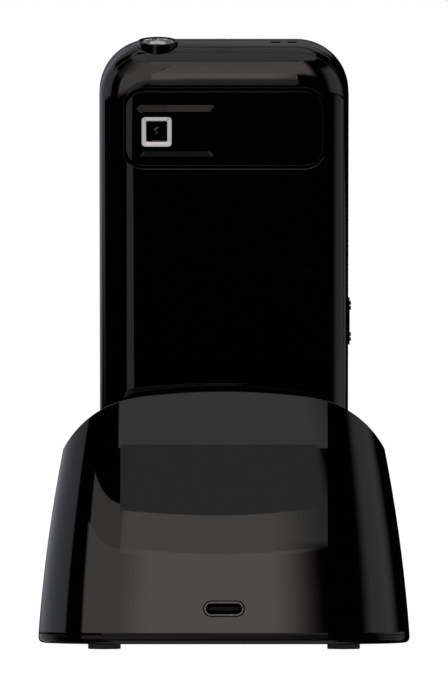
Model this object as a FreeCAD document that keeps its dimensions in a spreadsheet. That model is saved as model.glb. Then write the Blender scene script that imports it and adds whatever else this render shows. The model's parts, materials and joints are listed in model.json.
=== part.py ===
import FreeCAD, Part
import math
import os
import re

import Sketcher
from FreeCAD import Placement, Rotation, Vector

# A slider phone standing in its charging cradle. All sizes in millimetres.
# World frame: +Z up, the screen faces -Y, the rear of phone and cradle faces +Y.
# The origin is the centre of the plane that the four feet stand on.
# Phone frame: X across, Z along the phone from its lower end, Y from screen to
# rear cover with 0 in the sliding gap. It leans back and stands in the pocket.

# --------------------------------------------------------------- driving sizes

SIZES = [
    # phone outline
    ("phone_width", 57.2, "width over the side bands"),
    ("phone_length", 118.0, "length of the rear half"),
    ("corner_round", 12.0, "outline corner radius"),
    ("rear_depth", 13.5, "thickness of the rear half"),
    ("front_depth", 5.6, "thickness of the front half"),
    ("front_short", 0.5, "front half ends this much below the top"),
    ("split_gap", 0.3, "gap between the two halves"),
    ("cover_roll", 8.0, "rolled edge of the rear half"),
    ("front_roll", 3.2, "rolled edge of the front half"),
    ("case_wall", 1.2, "wall of the phone mouldings"),
    ("band_depth", 9.6, "depth of the chassis side band"),
    ("fit_gap", 0.12, "gap between pieces of one assembly"),
    ("run_gap", 0.2, "gap round a moving key"),
    # stance
    ("lean", 13.0, "phone leans back by this many degrees"),
    ("seat_back", -6.0, "world Y of the phone origin"),
    ("seat_height", 24.85, "world Z of the phone origin"),
    # sliding mechanism
    ("slide_travel", 44.0, "travel of the front half"),
    ("guide_width", 40.0, "slide guide over its edges"),
    ("guide_length", 54.0, "slide guide along the phone"),
    ("guide_rail", 6.0, "width of each rail foot"),
    ("guide_sheet", 0.6, "steel of the slide guide"),
    ("plate_sheet", 0.6, "steel of the slide plate"),
    ("plate_width", 49.0, "slide plate across"),
    ("plate_low", 6.0, "lower end of the slide plate"),
    ("plate_high", 112.0, "upper end of the slide plate"),
    ("lip_width", 3.0, "lip that hooks behind the guide"),
    ("lip_thick", 0.35, "thickness of that lip"),
    ("slide_gap", 0.3, "clearance in the slide"),
    ("flex_width", 8.0, "flat cable between the halves"),
    ("flex_sheet", 0.12, "thickness of the flat cable"),
    ("flex_low", 62.0, "flat cable slot in the deck"),
    ("flex_back", 66.0, "flat cable slot in the slide plate"),
    ("flex_fold", 90.0, "fold of the flat cable"),
    # keypad
    ("key_width", 14.2, "keypad key across"),
    ("key_tall", 8.0, "keypad key along the phone"),
    ("key_round", 2.2, "keypad key corner radius"),
    ("key_pitch", 15.4, "keypad column pitch"),
    ("row_pitch", 9.6, "keypad row pitch"),
    ("row_low", 9.2, "centre of the lowest keypad row"),
    ("key_travel", 0.35, "travel of a key"),
    ("key_flange", 0.5, "lip that keeps a key behind its plate"),
    ("flange_thick", 0.4, "thickness of that lip"),
    ("deck_thick", 1.6, "keypad deck"),
    ("deck_recess", 0.6, "keypad field below the deck face"),
    ("key_sink", 0.15, "key top below the deck face"),
    ("field_margin", 1.4, "recessed field beyond the keys"),
    ("membrane_thick", 0.4, "keypad membrane"),
    ("dome_high", 0.22, "membrane dome"),
    ("dome_round", 2.2, "membrane dome radius"),
    # boards and inner parts
    ("board_thick", 0.8, "phone circuit boards"),
    ("small_board", 0.5, "circuit board behind the display"),
    ("board_margin", 2.2, "main board inside the case wall"),
    ("can_high", 1.0, "shield cans"),
    ("upper_can_high", 72.0, "upper shield cans along the phone"),
    ("left_can_out", -8.0, "left shield can across"),
    ("left_can_wide", 20.0, "left shield can"),
    ("left_can_tall", 22.0, "left shield can along the phone"),
    ("right_can_out", 12.0, "right shield can across"),
    ("right_can_wide", 14.0, "right shield can"),
    ("right_can_tall", 16.0, "right shield can along the phone"),
    ("lower_can_high", 40.0, "lower shield can along the phone"),
    ("lower_can_wide", 26.0, "lower shield can"),
    ("lower_can_tall", 18.0, "lower shield can along the phone"),
    ("tray_thick", 0.8, "chassis tray behind the main board"),
    ("battery_width", 35.0, "battery across"),
    ("battery_length", 54.0, "battery along the phone"),
    ("battery_thick", 4.6, "battery"),
    ("battery_low", 29.0, "lower end of the battery"),
    ("contact_width", 9.0, "battery contact block"),
    ("contact_tall", 3.0, "battery contact block"),
    ("speaker_width", 16.0, "loudspeaker across"),
    ("speaker_tall", 11.0, "loudspeaker along the phone"),
    ("speaker_thick", 4.2, "loudspeaker"),
    ("speaker_high", 17.0, "loudspeaker centre along the phone"),
    ("slot_width", 10.0, "speaker slot length"),
    ("slot_tall", 0.9, "speaker slot width"),
    ("motor_round", 2.1, "vibration motor radius"),
    ("motor_length", 9.0, "vibration motor"),
    ("motor_out", -15.0, "vibration motor across"),
    ("motor_high", 92.0, "vibration motor along the phone"),
    ("sim_width", 15.0, "SIM holder across"),
    ("sim_tall", 12.0, "SIM holder along the phone"),
    ("sim_high", 92.0, "SIM holder centre along the phone"),
    ("screw_out", 23.6, "chassis screws from the middle"),
    ("screw_low", 48.5, "lower chassis screws along the phone"),
    ("screw_high", 86.0, "upper chassis screws along the phone"),
    ("screw_round", 0.8, "small case screw shank radius"),
    ("screw_head", 1.5, "small case screw head radius"),
    ("post_round", 2.2, "small screw post radius"),
    # camera
    ("panel_width", 45.0, "camera panel across"),
    ("panel_tall", 17.25, "camera panel along the phone"),
    ("panel_round", 4.2, "camera panel corner radius"),
    ("panel_high", 99.92, "camera panel centre along the phone"),
    ("panel_rim", 0.9, "sunk rim round the camera panel"),
    ("rim_sink", 0.35, "depth of that rim"),
    ("island_width", 18.6, "camera island across"),
    ("island_tall", 12.2, "camera island along the phone"),
    ("island_out", 10.9, "camera island centre across"),
    ("island_rise", 0.9, "camera island above the panel"),
    ("island_slant", 1.4, "bevel of the camera island"),
    ("island_round", 1.5, "corner radius beside the camera"),
    ("camera_out", 15.4, "camera centre across"),
    ("camera_high", 99.4, "camera centre along the phone"),
    ("frame_wide", 7.0, "square camera frame"),
    ("frame_open", 4.7, "opening of the camera frame"),
    ("frame_round", 0.8, "camera frame corner radius"),
    ("frame_rise", 0.35, "camera frame above the island"),
    ("window_thick", 0.6, "camera window glass"),
    ("module_wide", 8.0, "camera module"),
    ("module_deep", 4.4, "camera module body"),
    ("barrel_round", 2.1, "camera lens barrel radius"),
    # torch
    ("torch_out", 15.2, "torch centre across"),
    ("torch_back", 5.5, "torch centre behind the sliding gap"),
    ("torch_round", 4.6, "torch bezel radius"),
    ("torch_bore", 4.1, "torch bezel bore radius"),
    ("torch_rise", 0.8, "torch bezel above the top"),
    ("torch_deep", 2.2, "torch bezel below the top"),
    ("lens_thick", 1.0, "torch lens"),
    ("led_round", 2.6, "torch LED base radius"),
    ("led_tall", 1.6, "torch LED base height"),
    # lanyard eye
    ("eye_out", -13.75, "lanyard eye centre across"),
    ("eye_bar", 1.6, "bar between the two slots"),
    ("eye_slot", 2.1, "length of each slot"),
    ("eye_deep", 1.6, "width of each slot"),
    ("eye_back", 3.4, "slot centre behind the sliding gap"),
    # volume rocker
    ("rocker_long", 11.0, "volume rocker along the phone"),
    ("rocker_wide", 2.2, "volume rocker across its edge"),
    ("rocker_high", 52.5, "volume rocker centre along the phone"),
    ("rocker_back", 3.6, "volume rocker centre behind the gap"),
    ("rocker_rise", 0.35, "volume rocker beyond the side"),
    ("rocker_lip", 0.45, "lip that keeps the rocker in"),
    ("rocker_clear", 0.3, "rocker lip inside the side wall"),
    ("rocker_foot", 0.6, "radius of the pivot that the rocker tilts on"),
    ("rib_rise", 0.3, "finger rib on the rocker"),
    ("rib_tall", 0.5, "finger rib width"),
    ("rib_near", 3.1, "first rib from the rocker centre"),
    ("rib_far", 4.25, "second rib from the rocker centre"),
    # screen side
    ("window_width", 48.6, "display window across"),
    ("window_tall", 74.0, "display window along the phone"),
    ("window_low", 37.5, "lower end of the display window"),
    ("window_round", 3.0, "display window corner radius"),
    ("window_sheet", 0.8, "display window glass"),
    ("front_wall", 1.2, "face wall of the front frame"),
    ("front_screw_out", 22.4, "front screws from the middle"),
    ("front_screw_low", 12.0, "lower front screws along the phone"),
    ("front_screw_high", 106.0, "upper front screws along the phone"),
    ("panel_margin", 1.6, "display inside its window"),
    ("display_thick", 1.2, "display"),
    ("display_tall", 60.0, "display along the phone"),
    ("display_low", 42.0, "lower end of the display"),
    ("ear_width", 11.0, "earpiece slot across"),
    ("ear_tall", 1.8, "earpiece slot"),
    ("ear_high", 107.6, "earpiece centre along the phone"),
    ("ear_thick", 1.2, "earpiece capsule"),
    ("ear_box", 5.0, "earpiece capsule along the phone"),
    ("call_width", 14.0, "call and end keys across"),
    ("call_tall", 8.6, "call and end keys along the phone"),
    ("call_out", 17.2, "call and end keys from the centre"),
    ("call_high", 20.5, "call, end and navigation keys centre"),
    ("nav_wide", 17.0, "navigation key"),
    ("nav_tall", 21.0, "navigation key along the phone"),
    ("nav_round", 5.0, "navigation key corner radius"),
    ("ok_round", 3.6, "OK key radius"),
    ("face_key_rise", 0.4, "front keys above the face"),
    # charging contacts
    ("pad_out", 4.0, "charge pad from the centre"),
    ("pad_back", 3.9, "charge pad centre behind the gap"),
    ("pad_wide", 2.6, "charge pad"),
    ("pad_thick", 0.4, "charge pad"),
    ("pin_round", 0.75, "charge pin radius"),
    ("pin_collar", 1.15, "charge pin collar radius"),
    ("pin_travel", 0.6, "charge pin travel"),
    ("pin_clear", 0.05, "charge pin below its pad"),
    ("pin_long", 5.0, "charge pin"),
    ("pin_run", 0.08, "radial clearance of a charge pin"),
    ("block_width", 15.0, "pin block across"),
    ("block_deep", 5.4, "pin block along Y"),
    # cradle
    ("cradle_width", 85.3, "cradle width at its seam"),
    ("cradle_depth", 70.0, "cradle depth at its seam"),
    ("cradle_height", 59.03, "top of the rear rim"),
    ("cradle_wall", 2.0, "wall of the cradle shell"),
    ("seam_height", 3.45, "seam between shell and base"),
    ("seam_gap", 0.15, "gap in that seam"),
    ("cradle_corner", 18.95, "corner radius of the cradle at its seam"),
    ("side_slope", 0.0745, "inward slope of the sides at the seam"),
    ("side_bow", 0.00141, "bow of the sides"),
    ("rear_slope", 0.087, "inward slope of the rear at the seam"),
    ("rear_bow", 0.00319, "bow of the rear"),
    ("front_slope", 0.58, "slope of the front"),
    ("top_crown", 156.0, "crown radius of the rear rim"),
    ("shoulder_round", 23.2, "shoulder radius"),
    ("shoulder_in", 26.15, "shoulder centre from the side at the seam"),
    ("rim_back", 18.6, "rear end of the sloping rim"),
    ("lip_back", -17.6, "front end of the sloping rim"),
    ("lip_height", 30.5, "height of the front lip"),
    ("rim_sag", 95.0, "sag radius of the sloping rim"),
    ("rim_round", 0.6, "rounded edge of the rim"),
    ("liner_wall", 1.4, "wall of the phone pocket"),
    ("pocket_gap", 0.5, "clearance round the phone"),
    ("floor_gap", 0.2, "clearance under the phone"),
    ("floor_thick", 1.6, "pocket floor"),
    ("base_round", 1.2, "lower edge radius of the base"),
    ("foot_high", 1.27, "feet below the base"),
    ("foot_wide", 7.5, "foot diameter"),
    ("foot_sink", 0.5, "foot recess in the base"),
    ("foot_side", 15.25, "foot centre from the side at the seam"),
    ("foot_end", 10.0, "foot centre from the front or rear at the seam"),
    ("stud_round", 3.0, "cradle screw post radius"),
    ("stud_bore", 1.2, "bore in a cradle screw post"),
    ("rear_stud_side", 10.15, "rear screw posts from the side at the seam"),
    ("rear_stud_end", 18.0, "rear screw posts from the rear at the seam"),
    ("front_stud_side", 12.65, "front screw posts from the side at the seam"),
    ("front_stud_end", 17.0, "front screw posts from the front at the seam"),
    ("big_head", 2.3, "cradle screw head radius"),
    ("big_shank", 1.1, "cradle screw shank radius"),
    ("big_long", 7.0, "cradle screw length"),
    ("cradle_board", 1.2, "cradle circuit board"),
    ("cradle_board_wide", 42.0, "cradle circuit board across"),
    ("cradle_board_front", -11.0, "front edge of the cradle board"),
    ("board_post", 3.15, "cradle board above the base"),
    ("board_post_round", 2.0, "board post radius"),
    ("usb_wide", 8.94, "USB-C shell across"),
    ("usb_tall", 3.16, "USB-C shell height"),
    ("usb_sheet", 0.3, "USB-C shell metal"),
    ("usb_long", 7.3, "USB-C shell depth"),
    ("usb_inset", 0.2, "USB-C shell behind the rear face"),
    ("tongue_wide", 6.69, "USB-C tongue across"),
    ("tongue_thick", 0.7, "USB-C tongue"),
    ("weight_wide", 46.0, "ballast across"),
    ("weight_gap", 2.5, "ballast in front of the cradle board"),
    ("weight_tall", 6.0, "ballast height"),
    ("weight_inset", 6.5, "ballast behind the front of the seam"),
]

# Places that follow from the driving sizes, as expressions of them.
PLACES = {
    "rear_front": "split_gap / 2",
    "deck_back": "rear_front + deck_thick",
    "seam_back": "rear_front + band_depth",
    "rear_back": "rear_front + rear_depth",
    "inner_back": "rear_back - case_wall",
    "front_rear": "-split_gap / 2",
    "front_face": "front_rear - front_depth",
    "front_length": "phone_length - front_short",
    "front_inner": "front_face + front_wall",
    "key_top": "rear_front + key_sink",
    "flange_front": "deck_back + fit_gap",
    "flange_back": "flange_front + flange_thick",
    "dome_front": "flange_back + key_travel + fit_gap",
    "membrane_front": "dome_front + dome_high",
    "board_front": "membrane_front + membrane_thick + fit_gap",
    "board_back": "board_front + board_thick",
    "can_back": "board_back + can_high",
    "tray_front": "can_back + fit_gap",
    "tray_back": "tray_front + tray_thick",
    "battery_front": "tray_back + fit_gap",
    "battery_back": "battery_front + battery_thick",
    "keypad_high": "row_low + 1.5 * row_pitch",
    "field_wide": "2 * key_pitch + key_width + 2 * field_margin",
    "field_tall": "3 * row_pitch + key_tall + 2 * field_margin",
    "guide_low": "plate_low + slide_travel + 2",
    "guide_back": "front_rear - slide_gap - lip_thick - slide_gap / 2",
    "guide_front": "guide_back - guide_sheet",
    "plate_back": "guide_front - slide_gap",
    "plate_front": "plate_back - plate_sheet",
    "small_board_back": "plate_front - fit_gap",
    "small_board_front": "small_board_back - small_board",
    "pocket_front": "front_face - pocket_gap",
    "pocket_back": "rear_back + pocket_gap",
    "pocket_middle": "(pocket_front + pocket_back) / 2",
    "pocket_deep": "pocket_back - pocket_front",
    "pocket_wide": "phone_width + 2 * pocket_gap",
    "shell_top": "cradle_height + 1",
    "flat_half": "cradle_width / 2 - cradle_corner",
    "shoulder_out": "cradle_width / 2 - shoulder_in",
    "foot_out": "cradle_width / 2 - foot_side",
    "foot_back": "cradle_depth / 2 - foot_end",
    "rear_stud_out": "cradle_width / 2 - rear_stud_side",
    "rear_stud_back": "cradle_depth / 2 - rear_stud_end",
    "front_stud_out": "cradle_width / 2 - front_stud_side",
    "front_stud_back": "front_stud_end - cradle_depth / 2",
    "weight_front": "weight_inset - cradle_depth / 2",
    "weight_deep": "cradle_board_front - weight_gap - weight_front",
    "rocker_lip_out": "phone_width / 2 - case_wall - rocker_clear",
    "board_low": "seam_height + board_post",
    "board_high": "board_low + cradle_board",
    "usb_high": "board_high + usb_tall / 2",
    "usb_rise": "usb_high - seam_height",
    "usb_face": "cradle_depth / 2 - rear_slope * usb_rise - rear_bow * usb_rise^2",
    "usb_mouth": "usb_face - usb_inset",
}

VALUES = {name: value for name, value, meaning in SIZES}

doc = FreeCAD.newDocument("slider_phone")
sheet = doc.addObject("Spreadsheet::Sheet", "Sizes")
for line, (name, value, meaning) in enumerate(SIZES, start=1):
    sheet.set(f"A{line}", name)
    sheet.set(f"B{line}", str(value))
    sheet.set(f"C{line}", meaning)
    sheet.setAlias(f"B{line}", name)
doc.recompute()


def spell(text):
    """Write an expression out in cells of the sheet."""
    def replace(match):
        word = match.group(0)
        if word in PLACES:
            return "(" + spell(PLACES[word]) + ")"
        return "Sizes." + word if word in VALUES else word
    return re.sub(r"[a-z][a-z_]+", replace, str(text))


def amount(text):
    """The present value of an expression."""
    return float(sheet.evalExpression(spell(text)))


def bind(thing, links):
    """Bind properties of a document object to expressions."""
    for path, text in links.items():
        thing.setExpression(path, spell(text))


# ------------------------------------------------------------- building helpers

SUB_PARTS = []
X_AXIS = Vector(1, 0, 0)


def lean_back(piece):
    """Stand a piece that is built in the phone frame in the cradle."""
    piece.Placement = Placement(Vector(), Rotation(X_AXIS, -VALUES["lean"]))
    bind(piece, {
        "Placement.Rotation.Angle": "-lean",
        "Placement.Base.y": "seat_back",
        "Placement.Base.z": "seat_height",
    })


def sub_part(piece, name, leaning):
    """Keep a piece as a sub-part of its own, under a name of its own."""
    piece.Label = name
    if leaning:
        lean_back(piece)
    SUB_PARTS.append(piece)
    return piece


def new_body(name):
    body = doc.addObject("PartDesign::Body", name)
    body.AllowCompound = True
    return body


PLANES = {"front": "XZ_Plane", "plan": "XY_Plane", "side": "YZ_Plane"}


def new_sketch(body, plane, start, across="0", up="0"):
    """A sketch on an origin plane of its body, moved along the plane's axis."""
    sketch = body.newObject("Sketcher::SketchObject", "Sketch")
    support = [f for f in body.Origin.OriginFeatures if f.Role == PLANES[plane]][0]
    sketch.AttachmentSupport = [(support, "")]
    sketch.MapMode = "FlatFace"
    along = f"-({start})" if plane == "front" else start
    bind(sketch, {
        "AttachmentOffset.Base.x": across,
        "AttachmentOffset.Base.y": up,
        "AttachmentOffset.Base.z": along,
    })
    return sketch


def name_size(sketch, constraint, name, text):
    """Add a dimension to a sketch and bind it to an expression."""
    index = sketch.addConstraint(constraint)
    sketch.renameConstraint(index, name)
    sketch.setExpression("Constraints." + name, spell(text))


def draw_rectangle(sketch, wide, tall, rounds):
    """A rectangle about the sketch's origin, with a radius for each corner.

    The corners run lower left, lower right, upper right, upper left, and a
    radius of None leaves its corner sharp.
    """
    if not isinstance(rounds, (list, tuple)):
        rounds = [rounds] * 4
    half_wide = amount(wide) / 2
    half_tall = amount(tall) / 2
    corners = [(-1, -1), (1, -1), (1, 1), (-1, 1)]
    radii = [amount(r) if r is not None else 0.0 for r in rounds]
    spots = [Vector(i * half_wide, k * half_tall, 0) for i, k in corners]
    sides = []
    for index in range(4):
        after = (index + 1) % 4
        heading = (spots[after] - spots[index]).normalize()
        start = spots[index] + heading * radii[index]
        end = spots[after] - heading * radii[after]
        sides.append(sketch.addGeometry(Part.LineSegment(start, end), False))
    for index, kind in enumerate(["Horizontal", "Vertical", "Horizontal", "Vertical"]):
        sketch.addConstraint(Sketcher.Constraint(kind, sides[index]))
    for index, (i, k) in enumerate(corners):
        side_in = sides[index - 1]
        side_out = sides[index]
        if rounds[index] is None:
            sketch.addConstraint(Sketcher.Constraint("Coincident", side_in, 2, side_out, 1))
            continue
        middle = spots[index] - Vector(i, k, 0) * radii[index]
        first = [180, 270, 0, 90][index]
        circle = Part.Circle(middle, Vector(0, 0, 1), radii[index])
        arc = Part.ArcOfCircle(circle, math.radians(first), math.radians(first + 90))
        corner = sketch.addGeometry(arc, False)
        sketch.addConstraint(Sketcher.Constraint("Tangent", side_in, 2, corner, 1))
        sketch.addConstraint(Sketcher.Constraint("Tangent", corner, 2, side_out, 1))
        name_size(sketch, Sketcher.Constraint("Radius", corner, radii[index]),
                  f"round_{index}", rounds[index])
    bottom, right, top, left = sides
    name_size(sketch, Sketcher.Constraint("DistanceX", -1, 1, left, 1, -half_wide),
              "left", f"-({wide}) / 2")
    name_size(sketch, Sketcher.Constraint("DistanceX", -1, 1, right, 1, half_wide),
              "right", f"({wide}) / 2")
    name_size(sketch, Sketcher.Constraint("DistanceY", -1, 1, bottom, 1, -half_tall),
              "low", f"-({tall}) / 2")
    name_size(sketch, Sketcher.Constraint("DistanceY", -1, 1, top, 1, half_tall),
              "high", f"({tall}) / 2")


def draw_circle(sketch, radius):
    circle = sketch.addGeometry(Part.Circle(Vector(), Vector(0, 0, 1), amount(radius)), False)
    sketch.addConstraint(Sketcher.Constraint("Coincident", circle, 3, -1, 1))
    name_size(sketch, Sketcher.Constraint("Radius", circle, amount(radius)), "radius", radius)


def push(body, sketch, plane, depth, cut):
    """Pad a sketch towards + of its axis, or cut that much away."""
    kind = "PartDesign::Pocket" if cut else "PartDesign::Pad"
    feature = body.newObject(kind, "Cut" if cut else "Pad")
    feature.Profile = sketch
    feature.Reversed = (plane == "front") != cut
    bind(feature, {"Length": depth})
    return feature


def slab(body, plane, centre, size, rounds, start, depth, cut=False):
    """A rounded rectangle of some depth, added to a body or cut from it."""
    sketch = new_sketch(body, plane, start, centre[0], centre[1])
    draw_rectangle(sketch, size[0], size[1], rounds)
    return push(body, sketch, plane, depth, cut)


def disc(body, plane, centre, radius, start, depth, cut=False):
    """A round bar or bore along the axis of a plane."""
    sketch = new_sketch(body, plane, start, centre[0], centre[1])
    draw_circle(sketch, radius)
    return push(body, sketch, plane, depth, cut)


def round_edges(body, radius, axis, level):
    """Round the edges of a body that lie wholly at one level of an axis."""
    doc.recompute()
    box_low, box_high = {"x": ("XMin", "XMax"), "y": ("YMin", "YMax"), "z": ("ZMin", "ZMax")}[axis]
    place = amount(level)
    base = body.Tip
    names = []
    for index, edge in enumerate(base.Shape.Edges, start=1):
        box = edge.BoundBox
        low = getattr(box, box_low)
        high = getattr(box, box_high)
        if abs(low - place) < 1e-4 and abs(high - place) < 1e-4:
            names.append(f"Edge{index}")
    fillet = body.newObject("PartDesign::Fillet", "Round")
    fillet.Base = (base, names)
    bind(fillet, {"Radius": radius})
    return fillet


def cut(name, base, tools):
    """A boolean cut of one piece by others."""
    tool = tools[0]
    if len(tools) > 1:
        tool = doc.addObject("Part::MultiFuse", name + "_tools")
        tool.Shapes = tools
    result = doc.addObject("Part::Cut", name)
    result.Base = base
    result.Tool = tool
    return result


def fuse(name, pieces):
    result = doc.addObject("Part::MultiFuse", name)
    result.Shapes = pieces
    return result


def common(name, pieces):
    result = doc.addObject("Part::MultiCommon", name)
    result.Shapes = pieces
    return result


def zone(name, start, depth):
    """Everything of the phone between two depths, to cut a form apart."""
    body = new_body(name)
    slab(body, "front", ("0", "phone_length / 2"), ("2 * phone_width", "2 * phone_length"),
         None, start, depth)
    return body


# ------------------------------------------------------------------ phone forms

def rounded_form(name, inset, long, start, end, roll, rolled_level):
    """The phone outline between two depths, with one rolled edge."""
    body = new_body(name)
    slab(body, "front", ("0", f"({long}) / 2"),
         (f"phone_width - 2 * ({inset})", f"({long}) - 2 * ({inset})"),
         f"corner_round - ({inset})", start, f"({end}) - ({start})")
    round_edges(body, roll, "y", rolled_level)
    return body


def key_apertures(body, start, depth):
    """Cut the twelve key openings into the keypad deck."""
    for row in range(4):
        for column in (-1, 0, 1):
            slab(body, "front", (f"{column} * key_pitch", f"row_low + {row} * row_pitch"),
                 ("key_width + 2 * run_gap", "key_tall + 2 * run_gap"),
                 "key_round + run_gap", start, depth, cut=True)


def make_rear_half():
    outer = rounded_form("rear_form", "0", "phone_length", "rear_front", "rear_back",
                         "cover_roll", "rear_back")
    inner = rounded_form("rear_inner", "case_wall", "phone_length", "deck_back",
                         "inner_back", "cover_roll - case_wall", "inner_back")
    shell = cut("rear_shell", outer, [inner])
    make_rear_cover(shell)
    make_camera(shell)
    make_chassis(shell)
    make_torch()
    make_keypad()


def panel_prism(name, grow, start):
    """The outline of the camera panel, from one depth out past the cover."""
    body = new_body(name)
    slab(body, "front", ("0", "panel_high"),
         (f"panel_width + 2 * ({grow})", f"panel_tall + 2 * ({grow})"),
         f"panel_round + ({grow})", start, "rear_depth")
    return body


def torch_hole(name):
    body = new_body(name)
    disc(body, "plan", ("torch_out", "torch_back"), "torch_round + fit_gap",
         "phone_length - 2 * torch_deep", "3 * torch_deep")
    return body


def make_rear_cover(shell):
    behind = zone("cover_zone", "seam_back + fit_gap", "rear_depth")
    rim = panel_prism("panel_rim_cut", "panel_rim", "rear_back - rim_sink")
    opening = panel_prism("panel_opening", "fit_gap", "seam_back")
    slots = new_body("speaker_slots")
    for step in range(-2, 3):
        slab(slots, "front", ("0", f"speaker_high + {step} * 2 * slot_tall"),
             ("slot_width", "slot_tall"), "slot_tall / 2.2", "seam_back", "rear_depth")
    blank = common("cover_blank", [shell, behind])
    cover = cut("rear_cover_cut", blank, [rim, opening, slots, torch_hole("cover_torch_hole")])
    sub_part(cover, "rear_cover", True)


def make_camera(shell):
    # the panel follows the roll of the cover and carries the island
    outline = panel_prism("panel_outline", "0", "seam_back")
    blank = common("panel_blank", [shell, outline])
    window = new_body("panel_window")
    slab(window, "front", ("camera_out", "camera_high"),
         ("frame_open + 2 * fit_gap", "frame_open + 2 * fit_gap"), "frame_round",
         "seam_back", "rear_depth")
    sub_part(cut("camera_panel_cut", blank, [window]), "camera_panel", True)

    island = new_body("camera_island")
    loft_between(island, [
        ("rear_back + 0.02", "island_width", "island_tall", "island_round"),
        ("rear_back + island_rise", "island_width - 2 * island_slant",
         "island_tall - 2 * island_slant", "island_round / 2"),
    ])
    slab(island, "front", ("camera_out", "camera_high"),
         ("frame_wide + 2 * fit_gap", "frame_wide + 2 * fit_gap"), "frame_round + fit_gap",
         "rear_back - island_rise", "3 * island_rise", cut=True)
    sub_part(island, "camera_island", True)

    frame = new_body("camera_frame")
    slab(frame, "front", ("camera_out", "camera_high"), ("frame_wide", "frame_wide"),
         "frame_round", "rear_back + 0.02", "island_rise + frame_rise - 0.02")
    slab(frame, "front", ("camera_out", "camera_high"), ("frame_open", "frame_open"),
         "frame_round / 2", "rear_back - island_rise", "3 * island_rise", cut=True)
    sub_part(frame, "camera_frame", True)

    glass = new_body("camera_window")
    slab(glass, "front", ("camera_out", "camera_high"),
         ("frame_open - 2 * fit_gap", "frame_open - 2 * fit_gap"), "frame_round / 2",
         "rear_back + fit_gap", "window_thick")
    sub_part(glass, "camera_window", True)

    module = new_body("camera_module")
    slab(module, "front", ("camera_out", "camera_high"), ("module_wide", "module_wide"),
         "frame_round", "inner_back - fit_gap - module_deep", "module_deep")
    disc(module, "front", ("camera_out", "camera_high"), "barrel_round",
         "inner_back - module_deep / 2", "module_deep / 2 + case_wall")
    sub_part(module, "camera_module", True)


def loft_between(body, levels):
    """A bevelled plate from one outline at its foot to a smaller one above."""
    sketches = []
    for level, wide, tall, radius in levels:
        sketch = new_sketch(body, "front", level, "island_out", "camera_high")
        draw_rectangle(sketch, wide, tall, radius)
        sketches.append(sketch)
    loft = body.newObject("PartDesign::AdditiveLoft", "Loft")
    loft.Profile = sketches[0]
    loft.Sections = sketches[1:]
    return loft


def posts(name, plane, spots, radius, start, depth):
    body = new_body(name)
    for across, up in spots:
        disc(body, plane, (across, up), radius, start, depth)
    return body


CHASSIS_SCREWS = [
    ("-screw_out", "screw_low"), ("screw_out", "screw_low"),
    ("-screw_out", "screw_high"), ("screw_out", "screw_high"),
]


def make_chassis(shell):
    ring = common("chassis_ring", [shell, zone("chassis_zone", "deck_back + fit_gap / 2",
                                               "seam_back - deck_back - fit_gap / 2")])
    tray = new_body("chassis_tray")
    slab(tray, "front", ("0", "phone_length / 2"),
         ("phone_width - case_wall", "phone_length - case_wall"), "corner_round - case_wall / 2",
         "tray_front", "tray_thick")
    slab(tray, "front", ("camera_out", "camera_high"),
         ("module_wide + 2 * fit_gap", "module_wide + 2 * fit_gap"), "frame_round",
         "tray_front", "2 * tray_thick", cut=True)
    slab(tray, "front", ("-camera_out", "sim_high + 6"), ("sim_width", "sim_tall"), "1",
         "tray_front", "2 * tray_thick", cut=True)
    screw_posts = posts("chassis_posts", "front", CHASSIS_SCREWS, "post_round",
                        "deck_back + fit_gap", "tray_front - deck_back")
    bores = posts("chassis_bores", "front", CHASSIS_SCREWS, "screw_round + fit_gap",
                  "deck_back - 1", "rear_depth")
    whole = fuse("chassis_whole", [ring, tray, screw_posts])
    holes = [bores, torch_hole("chassis_torch_hole"), make_eye(), make_rocker_hole(),
             make_pad_seats(), lens_hole()]
    sub_part(cut("chassis_cut", whole, holes), "rear_chassis", True)

    screws = new_body("chassis_screws")
    for across, up in CHASSIS_SCREWS:
        disc(screws, "front", (across, up), "screw_round", "deck_back - 0.6",
             "tray_back - deck_back + 0.6 + fit_gap")
        disc(screws, "front", (across, up), "screw_head", "tray_back + fit_gap", "0.8")
    sub_part(screws, "chassis_screws", True)


def lens_hole():
    """Room for the torch LED where the tray would meet it."""
    body = new_body("led_room")
    slab(body, "plan", ("torch_out", "torch_back"), ("2 * torch_round", "2 * torch_round"),
         None, "phone_length - case_wall - torch_deep - led_tall - 2",
         "torch_deep + led_tall + 2")
    return body


def make_eye():
    """Two slots in the top edge for a wrist strap."""
    body = new_body("eye_slots")
    for side in (-1, 1):
        slab(body, "plan", (f"eye_out + {side} * (eye_bar + eye_slot) / 2", "eye_back"),
             ("eye_slot", "eye_deep"), "eye_deep / 4", "phone_length - 2 * case_wall",
             "3 * case_wall")
    return body


def make_rocker_hole():
    body = new_body("rocker_hole")
    slab(body, "side", ("rocker_back", "rocker_high"),
         ("rocker_wide + 2 * run_gap", "rocker_long + 2 * run_gap"), "rocker_wide / 3",
         "-phone_width", "phone_width / 2 + 2 * case_wall")
    return body


def make_pad_seats():
    body = new_body("pad_seats")
    for side in (-1, 1):
        slab(body, "plan", (f"{side} * pad_out", "pad_back"), ("pad_wide", "pad_wide"), None,
             "-pad_thick", "2 * pad_thick")
    return body


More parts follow.
